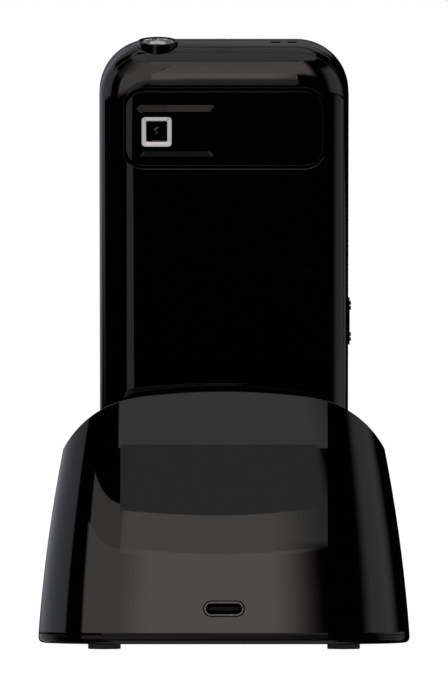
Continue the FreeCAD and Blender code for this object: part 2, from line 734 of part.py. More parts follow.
def make_torch():
    centre = ("torch_out", "torch_back")
    bezel = new_body("torch_bezel")
    disc(bezel, "plan", centre, "torch_round", "phone_length - torch_deep",
         "torch_deep + torch_rise")
    round_edges(bezel, "0.2", "z", "phone_length + torch_rise")
    disc(bezel, "plan", centre, "torch_bore", "phone_length - torch_deep + 0.5",
         "2 * torch_deep", cut=True)
    disc(bezel, "plan", centre, "led_round + fit_gap", "phone_length - 2 * torch_deep",
         "2 * torch_deep", cut=True)
    sub_part(bezel, "torch_bezel", True)

    lens = new_body("torch_lens")
    disc(lens, "plan", centre, "torch_bore - fit_gap / 2",
         "phone_length + torch_rise - lens_thick - 0.3", "lens_thick")
    round_edges(lens, "0.3", "z", "phone_length + torch_rise - 0.3")
    sub_part(lens, "torch_lens", True)

    led = new_body("torch_led")
    disc(led, "plan", centre, "led_round", "phone_length - torch_deep - led_tall",
         "led_tall")
    disc(led, "plan", centre, "led_round / 2", "phone_length - torch_deep", "1.2")
    sub_part(led, "torch_led", True)


# ----------------------------------------------------------------------- keypad

KEY_NAMES = [
    ["key_star", "key_0", "key_hash"],
    ["key_7", "key_8", "key_9"],
    ["key_4", "key_5", "key_6"],
    ["key_1", "key_2", "key_3"],
]


def make_key(name, centre, size, radius, top, flange_front):
    """A key cap with the lip that keeps it behind its plate."""
    body = new_body(name)
    slab(body, "front", centre, size, radius, top, f"({flange_front}) - ({top}) + 0.01")
    round_edges(body, "0.3", "y", top)
    slab(body, "front", centre,
         (f"({size[0]}) + 2 * key_flange", f"({size[1]}) + 2 * key_flange"),
         f"({radius}) + key_flange", flange_front, "flange_thick")
    return sub_part(body, name, True)


def make_keypad():
    deck = new_body("keypad_deck")
    slab(deck, "front", ("0", "phone_length / 2"), ("phone_width", "phone_length"),
         "corner_round", "rear_front", "deck_thick")
    round_edges(deck, "0.35", "y", "rear_front")
    slab(deck, "front", ("0", "keypad_high"), ("field_wide", "field_tall"),
         "key_round + field_margin", "rear_front - 1", "deck_recess + 1", cut=True)
    key_apertures(deck, "rear_front - 1", "deck_thick + 2")
    slab(deck, "front", ("0", "flex_low"), ("flex_width + 2", "2"), "0.8",
         "rear_front - 1", "deck_thick + 2", cut=True)
    for across, up in CHASSIS_SCREWS:
        disc(deck, "front", (across, up), "screw_round + fit_gap", "deck_back - 1", "2",
             cut=True)
    disc(deck, "plan", ("torch_out", "torch_back"), "torch_round + fit_gap",
         "phone_length - 2 * torch_deep", "3 * torch_deep", cut=True)
    sub_part(deck, "keypad_deck", True)

    for row, names in enumerate(KEY_NAMES):
        for column, name in enumerate(names):
            make_key(name, (f"{column - 1} * key_pitch", f"row_low + {row} * row_pitch"),
                     ("key_width", "key_tall"), "key_round", "key_top", "flange_front")

    membrane = new_body("keypad_membrane")
    slab(membrane, "front", ("0", "keypad_high"), ("field_wide - 1", "field_tall - 2"),
         "key_round", "membrane_front", "membrane_thick")
    for row in range(4):
        for column in (-1, 0, 1):
            disc(membrane, "front", (f"{column} * key_pitch", f"row_low + {row} * row_pitch"),
                 "dome_round", "dome_front", "dome_high + 0.01")
    sub_part(membrane, "keypad_membrane", True)


# -------------------------------------------------------------- inside the rear

def make_rear_insides():
    board = new_body("main_board")
    slab(board, "front", ("0", "phone_length / 2"),
         ("phone_width - 2 * case_wall - 2 * board_margin",
          "phone_length - 2 * case_wall - 2 * board_margin"),
         "corner_round - case_wall - board_margin", "board_front", "board_thick")
    for across, up in CHASSIS_SCREWS:
        disc(board, "front", (across, up), "post_round + run_gap", "board_front",
             "board_thick", cut=True)
    slab(board, "front", ("torch_out", "phone_length"),
         ("2 * torch_round + 2", "2 * torch_deep + 2 * led_tall + 2 * case_wall + 4"), None,
         "board_front", "board_thick", cut=True)
    sub_part(board, "main_board", True)

    cans = new_body("shield_cans")
    for across, up, wide, tall in (
            ("left_can_out", "upper_can_high", "left_can_wide", "left_can_tall"),
            ("right_can_out", "upper_can_high", "right_can_wide", "right_can_tall"),
            ("0", "lower_can_high", "lower_can_wide", "lower_can_tall")):
        slab(cans, "front", (across, up), (wide, tall), "0.8", "board_back + 0.02",
             "can_high - 0.02")
    sub_part(cans, "shield_cans", True)

    battery = new_body("battery")
    slab(battery, "front", ("0", "battery_low + battery_length / 2"),
         ("battery_width", "battery_length"), "1.5", "battery_front", "battery_thick")
    round_edges(battery, "0.6", "y", "battery_back")
    sub_part(battery, "battery", True)

    contacts = new_body("battery_contacts")
    slab(contacts, "front", ("0", "battery_low - fit_gap - contact_tall / 2"),
         ("contact_width", "contact_tall"), "0.4", "battery_front", "3")
    sub_part(contacts, "battery_contacts", True)

    sim = new_body("sim_holder")
    slab(sim, "front", ("-camera_out", "sim_high + 6"), ("sim_width - 1", "sim_tall - 1"),
         "0.6", "board_back + 0.02", "1.4")
    sub_part(sim, "sim_holder", True)

    speaker = new_body("loudspeaker")
    slab(speaker, "front", ("0", "speaker_high"), ("speaker_width", "speaker_tall"),
         "2.5", "inner_back - fit_gap - speaker_thick", "speaker_thick")
    sub_part(speaker, "loudspeaker", True)

    motor = new_body("vibration_motor")
    disc(motor, "side", ("tray_back + fit_gap + motor_round", "motor_high - 3"),
         "motor_round", "motor_out - motor_length / 2", "motor_length - 2.5")
    disc(motor, "side", ("tray_back + fit_gap + motor_round", "motor_high - 3"),
         "motor_round / 4", "motor_out - motor_length / 2", "motor_length")
    disc(motor, "side", ("tray_back + fit_gap + motor_round", "motor_high - 3"),
         "motor_round - 0.2", "motor_out + motor_length / 2 - 2", "2")
    sub_part(motor, "vibration_motor", True)

    pads = new_body("charge_pads")
    for side in (-1, 1):
        slab(pads, "plan", (f"{side} * pad_out", "pad_back"),
             ("pad_wide - 0.1", "pad_wide - 0.1"), None, "0", "pad_thick - 0.02")
    sub_part(pads, "charge_pads", True)


def make_rocker():
    rocker = new_body("volume_rocker")
    centre = ("rocker_back", "rocker_high")
    side = "-phone_width / 2"
    slab(rocker, "side", centre, ("rocker_wide", "rocker_long"), "rocker_wide / 3",
         f"{side} - rocker_rise", "rocker_rise + case_wall + rocker_clear")
    slab(rocker, "side", centre,
         ("rocker_wide + 2 * rocker_lip", "rocker_long + 2 * rocker_lip"), "rocker_wide / 3",
         "-rocker_lip_out", "rocker_foot")
    disc(rocker, "front", ("rocker_foot - rocker_lip_out", "rocker_high"), "rocker_foot",
         "rocker_back - rocker_wide / 2", "rocker_wide")
    for place in ("rib_near", "-rib_near", "rib_far", "-rib_far"):
        slab(rocker, "side", ("rocker_back", f"rocker_high + {place}"),
             ("rocker_wide - 0.4", "rib_tall"), None, f"{side} - rocker_rise - rib_rise",
             "rib_rise + 0.01")
    sub_part(rocker, "volume_rocker", True)


# --------------------------------------------------------------- sliding module

def make_slide():
    guide = new_body("slide_guide")
    middle = "guide_low + guide_length / 2"
    rail = "guide_width / 2 - lip_width - slide_gap - guide_rail / 2"
    slab(guide, "front", ("0", middle), ("guide_width", "guide_length"), "1.5",
         "guide_front", "guide_sheet")
    slab(guide, "front", ("0", middle), ("12", "guide_length - 10"), "1", "guide_front",
         "guide_sheet", cut=True)
    for side in (-1, 1):
        slab(guide, "front", (f"{side} * ({rail})", middle),
             ("guide_rail", "guide_length - 2"), "1", "guide_back - 0.01",
             "rear_front - guide_back + 0.01")
    sub_part(guide, "slide_guide", True)

    plate = new_body("slide_plate")
    middle = "(plate_low + plate_high) / 2"
    tall = "plate_high - plate_low"
    slab(plate, "front", ("0", middle), ("plate_width", tall), "1.5", "plate_front",
         "plate_sheet")
    for side in (-1, 1):
        web = f"{side} * (guide_width / 2 + slide_gap + plate_sheet / 2)"
        slab(plate, "front", (web, middle), ("plate_sheet", tall + " - 6"), None,
             "plate_back - 0.01", "front_rear - slide_gap / 2 - plate_back + 0.01")
        lip = f"{side} * (guide_width / 2 + slide_gap + plate_sheet - lip_width / 2 - plate_sheet / 2)"
        slab(plate, "front", (lip, middle), ("lip_width + plate_sheet", tall + " - 6"), None,
             "front_rear - slide_gap / 2 - lip_thick", "lip_thick")
    slab(plate, "front", ("0", "flex_back"), ("flex_width + 2", "2"), "0.8",
         "plate_front", "plate_sheet", cut=True)
    for across, up in FRONT_SCREWS:
        disc(plate, "front", (across, up), "screw_round + fit_gap", "plate_front",
             "plate_sheet", cut=True)
    sub_part(plate, "slide_plate", True)
    make_flex()


def make_flex():
    """The flat cable that joins the halves, folded back on itself in the gap."""
    flex = new_body("flex_cable")
    low = "rear_front - 0.2"
    deep = "plate_back + 0.25"
    runs = [
        (low, "board_front - flex_sheet / 2 - 0.02", "flex_low", "flex_low"),
        (low, low, "flex_low", "flex_fold"),
        (deep, low, "flex_fold", "flex_fold"),
        (deep, deep, "flex_back", "flex_fold"),
        ("small_board_back + flex_sheet / 2 + 0.02", deep, "flex_back", "flex_back"),
    ]
    for front, back, lower, upper in runs:
        slab(flex, "side", (f"(({front}) + ({back})) / 2", f"({lower} + {upper}) / 2"),
             (f"({back}) - ({front}) + flex_sheet", f"{upper} - {lower} + flex_sheet"), None,
             "-flex_width / 2", "flex_width")
    sub_part(flex, "flex_cable", True)


# ------------------------------------------------------------------- front half

FRONT_SCREWS = [
    ("-front_screw_out", "front_screw_low"), ("front_screw_out", "front_screw_low"),
    ("-front_screw_out", "front_screw_high"), ("front_screw_out", "front_screw_high"),
]


def make_front_half():
    outer = rounded_form("front_form", "0", "front_length", "front_face", "front_rear",
                         "front_roll", "front_face")
    inner = rounded_form("front_inner", "case_wall", "front_length", "front_inner",
                         "front_rear + 1", "front_roll - case_wall", "front_inner")
    openings = new_body("front_openings")
    window_middle = "window_low + window_tall / 2"
    slab(openings, "front", ("0", window_middle),
         ("window_width + 2 * fit_gap", "window_tall + 2 * fit_gap"),
         "window_round + fit_gap", "front_face - 1", "window_sheet + fit_gap + 1")
    slab(openings, "front", ("0", "display_low + display_tall / 2"),
         ("window_width - 2 * panel_margin", "display_tall"), "1",
         "front_face - 1", "front_wall + 2")
    for side in (-1, 1):
        slab(openings, "front", (f"{side} * call_out", "call_high"),
             ("call_width + 2 * run_gap", "call_tall + 2 * run_gap"), "call_tall / 3",
             "front_face - 1", "front_wall + 2")
    slab(openings, "front", ("0", "call_high"),
         ("nav_wide + 2 * run_gap", "nav_tall + 2 * run_gap"), "nav_round + run_gap",
         "front_face - 1", "front_wall + 2")
    slab(openings, "front", ("0", "ear_high"), ("ear_width", "ear_tall"), "ear_tall / 2.2",
         "front_face - 1", "front_wall + 2")
    screw_posts = posts("front_posts", "front", FRONT_SCREWS, "post_round - 0.4",
                        "front_inner - 0.1", "plate_front - front_inner")
    bores = posts("front_bores", "front", FRONT_SCREWS, "screw_round - 0.2",
                  "front_inner", "front_depth")
    tub = cut("front_tub", outer, [inner])
    whole = fuse("front_whole", [tub, screw_posts])
    sub_part(cut("front_cut", whole, [openings, bores]), "front_frame", True)

    window = new_body("display_window")
    slab(window, "front", ("0", window_middle), ("window_width", "window_tall"),
         "window_round", "front_face", "window_sheet")
    slab(window, "front", ("0", "ear_high"), ("ear_width + 0.3", "ear_tall + 0.3"),
         "ear_tall / 2.2", "front_face - 1", "window_sheet + 2", cut=True)
    sub_part(window, "display_window", True)

    display = new_body("display_panel")
    slab(display, "front", ("0", "display_low + display_tall / 2"),
         ("window_width - 2 * panel_margin + 1", "display_tall + 1"), "0.5",
         "front_inner + fit_gap", "display_thick")
    sub_part(display, "display_panel", True)

    ear = new_body("earpiece")
    slab(ear, "front", ("0", "ear_high"), ("ear_width + 1", "ear_box"), "1.2",
         "front_inner + fit_gap", "ear_thick")
    sub_part(ear, "earpiece", True)

    grille = new_body("earpiece_grille")
    slab(grille, "front", ("0", "ear_high"), ("ear_width", "ear_tall"), "ear_tall / 2.2",
         "front_face + 0.15", "0.5")
    for step in range(-4, 5):
        slab(grille, "front", (f"{step} * 1.1", "ear_high"), ("0.5", "ear_tall - 0.7"),
             None, "front_face", "1", cut=True)
    sub_part(grille, "earpiece_grille", True)

    board = new_body("front_board")
    slab(board, "front", ("0", "front_length / 2"),
         ("plate_width - 8", "plate_high - plate_low - 10"), "2", "small_board_front", "small_board")
    sub_part(board, "front_board", True)

    screws = new_body("front_screws")
    for across, up in FRONT_SCREWS:
        disc(screws, "front", (across, up), "screw_round - 0.25",
             "plate_front - 1.6", "1.6 + plate_sheet + fit_gap")
        disc(screws, "front", (across, up), "screw_head - 0.3", "plate_back + fit_gap / 2",
             "0.5")
    sub_part(screws, "front_screws", True)
    make_face_keys()


def make_face_keys():
    top = "front_face - face_key_rise"
    lip = "front_inner + fit_gap"
    for name, side in (("call_key", -1), ("end_key", 1)):
        make_key(name, (f"{side} * call_out", "call_high"), ("call_width", "call_tall"),
                 "call_tall / 3", top, lip)

    nav = new_body("nav_key")
    slab(nav, "front", ("0", "call_high"), ("nav_wide", "nav_tall"), "nav_round", top,
         f"({lip}) - ({top}) + 0.01")
    round_edges(nav, "0.35", "y", top)
    slab(nav, "front", ("0", "call_high"),
         ("nav_wide + 2 * key_flange", "nav_tall + 2 * key_flange"), "nav_round + key_flange",
         lip, "flange_thick")
    disc(nav, "front", ("0", "call_high"), "ok_round + run_gap", "front_face - 2",
         "front_depth", cut=True)
    sub_part(nav, "nav_key", True)

    ok = new_body("ok_key")
    disc(ok, "front", ("0", "call_high"), "ok_round", f"{top} - 0.1",
         f"({lip}) - ({top}) + 0.1 + flange_thick + run_gap")
    round_edges(ok, "0.3", "y", f"{top} - 0.1")
    sub_part(ok, "ok_key", True)


# ----------------------------------------------------------------------- cradle

def cradle_section(body, height, inset):
    """One level outline of the cradle, drawn in by an inset."""
    rise = f"({height} - seam_height)"
    half = f"(cradle_width / 2 - side_slope * {rise} - side_bow * {rise}^2 - ({inset}))"
    rear = f"(cradle_depth / 2 - rear_slope * {rise} - rear_bow * {rise}^2 - ({inset}))"
    front = f"(-cradle_depth / 2 + front_slope * {rise} + ({inset}))"
    sketch = new_sketch(body, "plan", height, "0", f"({rear} + {front}) / 2")
    draw_rectangle(sketch, f"2 * {half}", f"{rear} - {front}", f"{half} - flat_half")
    return sketch


def cradle_form(name, inset, low):
    """The cradle's outer form, or the same form drawn in on every side."""
    body = new_body(name)
    levels = [low] + [f"(seam_height + {step} * (shell_top - seam_height) / 3)"
                      for step in (1, 2, 3)]
    sketches = [cradle_section(body, level, inset) for level in levels]
    loft = body.newObject("PartDesign::AdditiveLoft", "Loft")
    loft.Profile = sketches[0]
    loft.Sections = sketches[1:]
    cut_shoulders(body, inset)
    cut_rim(body, inset)
    return body


def round_rim(body):
    """Round every edge of the cradle's top."""
    doc.recompute()
    base = body.Tip
    floor = amount("lip_height") - 1
    names = [f"Edge{index}" for index, edge in enumerate(base.Shape.Edges, start=1)
             if edge.BoundBox.ZMin > floor]
    fillet = body.newObject("PartDesign::Fillet", "Round")
    fillet.Base = (base, names)
    bind(fillet, {"Radius": "rim_round"})


def cut_shoulders(body, inset):
    """Trim the top to a crowned rim with round shoulders, seen from behind."""
    sketch = new_sketch(body, "front", "-cradle_depth")
    crown = amount(f"top_crown - ({inset})")
    radius = amount(f"shoulder_round - ({inset})")
    top = amount(f"cradle_height - ({inset})")
    out = amount("shoulder_out")
    reach = amount("cradle_width")
    spread = crown - radius
    crown_centre = Vector(0, top - crown, 0)
    drop = crown_centre.y + math.sqrt(spread ** 2 - out ** 2)
    meet = math.atan2(drop - crown_centre.y, out)
    axis = Vector(0, 0, 1)
    right_centre = Vector(out, drop, 0)
    left_centre = Vector(-out, drop, 0)
    right = sketch.addGeometry(
        Part.ArcOfCircle(Part.Circle(right_centre, axis, radius), 0, meet), False)
    crest = sketch.addGeometry(
        Part.ArcOfCircle(Part.Circle(crown_centre, axis, crown), meet, math.pi - meet), False)
    left = sketch.addGeometry(
        Part.ArcOfCircle(Part.Circle(left_centre, axis, radius), math.pi - meet, math.pi), False)
    corners = [
        Vector(-out - radius, drop, 0), Vector(-reach, drop, 0),
        Vector(-reach, 2 * top, 0), Vector(reach, 2 * top, 0),
        Vector(reach, drop, 0), Vector(out + radius, drop, 0),
    ]
    lines = [sketch.addGeometry(Part.LineSegment(a, b), False)
             for a, b in zip(corners[:-1], corners[1:])]
    tie = Sketcher.Constraint
    sketch.addConstraint(tie("Tangent", right, 2, crest, 1))
    sketch.addConstraint(tie("Tangent", crest, 2, left, 1))
    sketch.addConstraint(tie("Coincident", left, 2, lines[0], 1))
    for first, second in zip(lines[:-1], lines[1:]):
        sketch.addConstraint(tie("Coincident", first, 2, second, 1))
    sketch.addConstraint(tie("Coincident", lines[-1], 2, right, 1))
    for index, kind in enumerate(["Horizontal", "Vertical", "Horizontal", "Vertical",
                                  "Horizontal"]):
        sketch.addConstraint(tie(kind, lines[index]))
    sketch.addConstraint(tie("PointOnObject", crest, 3, -2))
    sketch.addConstraint(tie("Equal", right, left))
    sketch.addConstraint(tie("Horizontal", right, 3, right, 1))
    sketch.addConstraint(tie("Horizontal", left, 3, left, 2))
    name_size(sketch, tie("Radius", right, radius), "shoulder", f"shoulder_round - ({inset})")
    name_size(sketch, tie("Radius", crest, crown), "crown", f"top_crown - ({inset})")
    name_size(sketch, tie("DistanceX", -1, 1, right, 3, out), "out_right", "shoulder_out")
    name_size(sketch, tie("DistanceX", left, 3, -1, 1, out), "out_left", "shoulder_out")
    name_size(sketch, tie("DistanceY", crest, 3, -1, 1, crown - top), "crest",
              "top_crown - cradle_height")
    name_size(sketch, tie("DistanceX", -1, 1, lines[3], 1, reach), "reach_right",
              "cradle_width")
    name_size(sketch, tie("DistanceX", lines[1], 1, -1, 1, reach), "reach_left",
              "cradle_width")
    name_size(sketch, tie("DistanceY", -1, 1, lines[2], 1, 2 * top), "above",
              f"2 * (cradle_height - ({inset}))")
    push(body, sketch, "front", "2 * cradle_depth", True)


def cut_rim(body, inset):
    """Slope the top down from the rear rim to the low front lip."""
    sketch = new_sketch(body, "side", "-cradle_width")
    drop = amount(inset)
    rim = Vector(amount("rim_back"), amount("cradle_height") - drop, 0)
    lip = Vector(amount("lip_back"), amount("lip_height") - drop, 0)
    reach = amount("cradle_depth")
    above = 2 * amount("cradle_height")
    radius = amount("rim_sag")
    middle = (rim + lip) / 2
    along = rim - lip
    normal = Vector(-along.y, along.x, 0).normalize()
    centre = middle + normal * math.sqrt(radius ** 2 - (along.Length / 2) ** 2)
    first = math.atan2(lip.y - centre.y, lip.x - centre.x)
    last = math.atan2(rim.y - centre.y, rim.x - centre.x)
    sweep = Part.ArcOfCircle(Part.Circle(centre, Vector(0, 0, 1), radius), first, last)
    arc = sketch.addGeometry(sweep, False)
    corners = [rim, Vector(rim.x, above, 0), Vector(-reach, above, 0),
               Vector(-reach, lip.y, 0), lip]
    lines = [sketch.addGeometry(Part.LineSegment(a, b), False)
             for a, b in zip(corners[:-1], corners[1:])]
    tie = Sketcher.Constraint
    sketch.addConstraint(tie("Coincident", arc, 2, lines[0], 1))
    for before, after in zip(lines[:-1], lines[1:]):
        sketch.addConstraint(tie("Coincident", before, 2, after, 1))
    sketch.addConstraint(tie("Coincident", lines[-1], 2, arc, 1))
    for index, kind in enumerate(["Vertical", "Horizontal", "Vertical", "Horizontal"]):
        sketch.addConstraint(tie(kind, lines[index]))
    name_size(sketch, tie("Radius", arc, radius), "sag", "rim_sag")
    name_size(sketch, tie("DistanceX", -1, 1, arc, 2, rim.x), "rim_back", "rim_back")
    name_size(sketch, tie("DistanceY", -1, 1, arc, 2, rim.y), "rim_high",
              f"cradle_height - ({inset})")
    name_size(sketch, tie("DistanceX", -1, 1, arc, 1, lip.x), "lip_back", "lip_back")
    name_size(sketch, tie("DistanceY", -1, 1, arc, 1, lip.y), "lip_high",
              f"lip_height - ({inset})")
    name_size(sketch, tie("DistanceX", -1, 1, lines[2], 1, -reach), "reach", "-cradle_depth")
    name_size(sketch, tie("DistanceY", -1, 1, lines[1], 1, above), "above",
              "2 * cradle_height")
    push(body, sketch, "side", "2 * cradle_width", True)


def pocket_prism(name, grow, low, depth):
    """The section of the phone pocket, grown outwards, along the lean."""
    body = new_body(name)
    near = f"front_roll + pocket_gap + ({grow})"
    far = f"cover_roll + pocket_gap + ({grow})"
    slab(body, "plan", ("0", "pocket_middle"),
         (f"pocket_wide + 2 * ({grow})", f"pocket_deep + 2 * ({grow})"),
         [near, near, far, far], low, depth)
    lean_back(body)
    return body


CRADLE_STUDS = [
    ("-rear_stud_out", "rear_stud_back"), ("rear_stud_out", "rear_stud_back"),
    ("-front_stud_out", "front_stud_back"), ("front_stud_out", "front_stud_back"),
]


def usb_prism(name, grow, start, depth):
    body = new_body(name)
    slab(body, "front", ("0", "usb_high"),
         (f"usb_wide + 2 * ({grow})", f"usb_tall + 2 * ({grow})"),
         f"usb_tall / 2.05 + ({grow})", start, depth)
    return body


def make_cradle():
    outer = cradle_form("cradle_outer", "0", "seam_height")
    round_rim(outer)
    hollow = cradle_form("cradle_hollow", "cradle_wall", "seam_height")
    slot = pocket_prism("pocket_slot", "liner_wall + fit_gap", "-floor_gap - floor_thick",
                        "phone_length")
    studs = posts("shell_studs", "plan", CRADLE_STUDS, "stud_round", "seam_height",
                  "cradle_height")
    bores = posts("stud_bores", "plan", CRADLE_STUDS, "stud_bore", "seam_height", "big_long")
    mouth = usb_prism("usb_mouth_cut", "0.3", "usb_mouth - usb_long", "2 * usb_long")
    cavity = cut("shell_cavity", hollow, [studs])
    walls = cut("shell_walls", outer, [cavity])
    sub_part(cut("shell_cut", walls, [slot, bores, mouth]), "cradle_shell", False)

    block = pocket_prism("liner_block", "liner_wall", "-floor_gap - floor_thick",
                         "phone_length / 2")
    space = pocket_prism("liner_space", "0", "-floor_gap", "phone_length")
    pin_holes = new_body("floor_pin_holes")
    for side in (-1, 1):
        disc(pin_holes, "plan", (f"{side} * pad_out", "pad_back"), "pin_round + pin_run",
             "-floor_gap - 2 * floor_thick", "3 * floor_thick")
    lean_back(pin_holes)
    trimmed = common("liner_trimmed", [block, outer])
    sub_part(cut("liner_cut", trimmed, [space, pin_holes]), "cradle_pocket", False)

    make_cradle_base()
    make_cradle_insides()
    make_charge_pins()


def make_cradle_base():
    base = new_body("cradle_base")
    low = "foot_high"
    thick = "seam_height - seam_gap - foot_high"
    slab(base, "plan", ("0", "0"), ("cradle_width", "cradle_depth"),
         "cradle_width / 2 - flat_half", low, thick)
    round_edges(base, "base_round", "z", low)
    for across in ("-foot_out", "foot_out"):
        for back in ("-foot_back", "foot_back"):
            disc(base, "plan", (across, back), "foot_wide / 2 + fit_gap", "0",
                 "foot_high + foot_sink", cut=True)
    for across, back in CRADLE_STUDS:
        disc(base, "plan", (across, back), "big_head + fit_gap", "0",
             "foot_high + 1.2", cut=True)
        disc(base, "plan", (across, back), "big_shank + fit_gap", "0", "seam_height + 1",
             cut=True)
    for across in ("-cradle_board_wide / 2 + 4", "cradle_board_wide / 2 - 4"):
        for back in ("cradle_board_front + 4", "usb_mouth - usb_long - 8"):
            disc(base, "plan", (across, back), "board_post_round",
                 "seam_height - seam_gap - 0.01", "board_post + seam_gap + 0.01")
    sub_part(base, "cradle_base", False)

    feet = new_body("cradle_feet")
    for across in ("-foot_out", "foot_out"):
        for back in ("-foot_back", "foot_back"):
            disc(feet, "plan", (across, back), "foot_wide / 2", "0", "foot_high + foot_sink")
    round_edges(feet, "0.25", "z", "0")
    sub_part(feet, "cradle_feet", False)

    screws = new_body("cradle_screws")
    for across, back in CRADLE_STUDS:
        disc(screws, "plan", (across, back), "big_head", "foot_high + 0.1", "1.1")
        disc(screws, "plan", (across, back), "big_shank - 0.05", "foot_high + 0.2",
             "big_long")
    sub_part(screws, "cradle_screws", False)


def make_cradle_insides():
    board = new_body("cradle_board")
    rear_edge = "usb_face - cradle_wall - 0.6"
    slab(board, "plan", ("0", f"(cradle_board_front + {rear_edge}) / 2"),
         ("cradle_board_wide", f"{rear_edge} - cradle_board_front"), "1.5", "board_low",
         "cradle_board")
    sub_part(board, "cradle_board", False)

    socket = usb_prism("usb_c_socket", "0", "usb_mouth - usb_long", "usb_long")
    slab(socket, "front", ("0", "usb_high"),
         ("usb_wide - 2 * usb_sheet", "usb_tall - 2 * usb_sheet"),
         "usb_tall / 2.05 - usb_sheet", "usb_mouth - usb_long + 0.8", "2 * usb_long", cut=True)
    sub_part(socket, "usb_c_socket", False)

    tongue = new_body("usb_c_tongue")
    slab(tongue, "front", ("0", "usb_high"), ("tongue_wide", "tongue_thick"), None,
         "usb_mouth - usb_long + 0.8", "usb_long - 1.3")
    sub_part(tongue, "usb_c_tongue", False)

    weight = new_body("cradle_weight")
    slab(weight, "plan", ("0", "weight_front + weight_deep / 2"),
         ("weight_wide", "weight_deep"), "2", "seam_height", "weight_tall")
    sub_part(weight, "cradle_weight", False)


def make_charge_pins():
    """Two sprung pins in a block that stands on the cradle board."""
    column = new_body("pin_column")
    top = "-floor_gap - floor_thick - fit_gap"
    slab(column, "plan", ("0", "pad_back"), ("block_width", "block_deep"), "1",
         f"{top} - seat_height", "seat_height")
    for side in (-1, 1):
        centre = (f"{side} * pad_out", "pad_back")
        disc(column, "plan", centre, "pin_collar + pin_run",
             f"{top} - pin_long - pin_travel", "2 * pin_long + pin_travel", cut=True)
    lean_back(column)
    above = new_body("above_board")
    slab(above, "plan", ("0", "0"), ("cradle_width", "cradle_depth"), None, "board_high",
         "seat_height")
    sub_part(common("pin_block_trim", [column, above]), "pin_block", False)

    for name, side in (("charge_pin_left", 1), ("charge_pin_right", -1)):
        centre = (f"{side} * pad_out", "pad_back")
        pin = new_body(name)
        disc(pin, "plan", centre, "pin_round", "-pin_clear - pin_long", "pin_long")
        round_edges(pin, "0.3", "z", "-pin_clear")
        disc(pin, "plan", centre, "pin_collar", "-pin_clear - pin_long",
             f"pin_long + pin_clear + {top} - 0.3")
        sub_part(pin, name, True)


# ------------------------------------------------------------------------ build

def check_document():
    """Stop if an object failed or a cut took nothing away."""
    for thing in doc.Objects:
        if {"Invalid", "Error"} & set(thing.State):
            raise SystemExit(f"{thing.Label} failed: {thing.State}")
        if thing.TypeId == "PartDesign::Pocket":
            before = thing.BaseFeature.Shape.Volume
            if thing.Shape.Volume > before - 1e-6:
                raise SystemExit(f"{thing.getParentGeoFeatureGroup().Label}: {thing.Label} cuts nothing")
    for piece in SUB_PARTS:
        shape = piece.Shape
        if shape.isNull() or not shape.isValid() or not shape.Solids:
            raise SystemExit(f"{piece.Label} has no valid solid")


make_rear_half()
make_rear_insides()
make_rocker()
make_slide()
make_front_half()
make_cradle()
doc.recompute()
check_document()

os.makedirs("parts", exist_ok=True)
for piece in SUB_PARTS:
    piece.Shape.exportStep(f"parts/{piece.Label}.step")
    print(f"{piece.Label:20s} solids {len(piece.Shape.Solids):2d}  volume {piece.Shape.Volume:10.2f}")
print(len(SUB_PARTS), "sub-parts")
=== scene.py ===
import json
import math

import bmesh
import bpy
from mathutils import Matrix, Vector


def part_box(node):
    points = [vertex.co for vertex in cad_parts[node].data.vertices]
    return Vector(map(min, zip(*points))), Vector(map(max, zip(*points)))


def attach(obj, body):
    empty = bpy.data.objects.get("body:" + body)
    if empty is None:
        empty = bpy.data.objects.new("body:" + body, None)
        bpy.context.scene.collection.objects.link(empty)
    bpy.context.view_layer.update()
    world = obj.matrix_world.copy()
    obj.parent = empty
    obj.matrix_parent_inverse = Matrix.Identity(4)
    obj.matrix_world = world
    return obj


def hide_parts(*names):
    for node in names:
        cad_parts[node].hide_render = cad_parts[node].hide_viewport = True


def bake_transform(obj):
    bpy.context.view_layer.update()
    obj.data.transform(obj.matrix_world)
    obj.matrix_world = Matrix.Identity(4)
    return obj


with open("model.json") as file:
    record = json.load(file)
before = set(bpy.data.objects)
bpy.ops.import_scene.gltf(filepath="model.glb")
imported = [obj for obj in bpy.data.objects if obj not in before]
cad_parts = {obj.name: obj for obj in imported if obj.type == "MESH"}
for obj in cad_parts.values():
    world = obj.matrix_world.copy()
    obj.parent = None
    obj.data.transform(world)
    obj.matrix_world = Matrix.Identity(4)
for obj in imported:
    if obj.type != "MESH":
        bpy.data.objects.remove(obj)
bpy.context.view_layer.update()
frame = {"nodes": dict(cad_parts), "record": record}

# The phone leans back in its pocket. Its own axes run across, from the screen to
# the rear cover, and along the phone, all in millimetres.
MM = 0.001
LEAN = math.radians(13.0)
SEAT = Vector((0.0, -6.0, 24.85))
PHONE = Matrix.Scale(MM, 4) @ Matrix.Translation(SEAT) @ Matrix.Rotation(-LEAN, 4, "X")
WORLD = Matrix.Scale(MM, 4)

PHONE_LENGTH = 118.0
REAR_BACK = 13.65
FRONT_FACE = -5.75
TORCH = Vector((15.2, 5.5, PHONE_LENGTH))
CAMERA = Vector((15.4, REAR_BACK, 99.4))
KEY_PITCH = 15.4
ROW_PITCH = 9.6
ROW_LOW = 9.2
FACE_KEYS_HIGH = 20.5
CALL_OUT = 17.2


# ------------------------------------------------------------------ node helpers

def new_group(name, inputs, outputs):
    """A shader node group with named values going in and coming out."""
    group = bpy.data.node_groups.new(name, "ShaderNodeTree")
    for label, kind, default in inputs:
        socket = group.interface.new_socket(label, in_out="INPUT", socket_type=kind)
        socket.default_value = default
    for label, kind in outputs:
        group.interface.new_socket(label, in_out="OUTPUT", socket_type=kind)
    entry = group.nodes.new("NodeGroupInput")
    leave = group.nodes.new("NodeGroupOutput")
    return group, entry, leave


def add_node(tree, kind, **settings):
    """A new node in a tree, with its settings by name."""
    node = tree.nodes.new(kind)
    for key, value in settings.items():
        setattr(node, key, value)
    return node


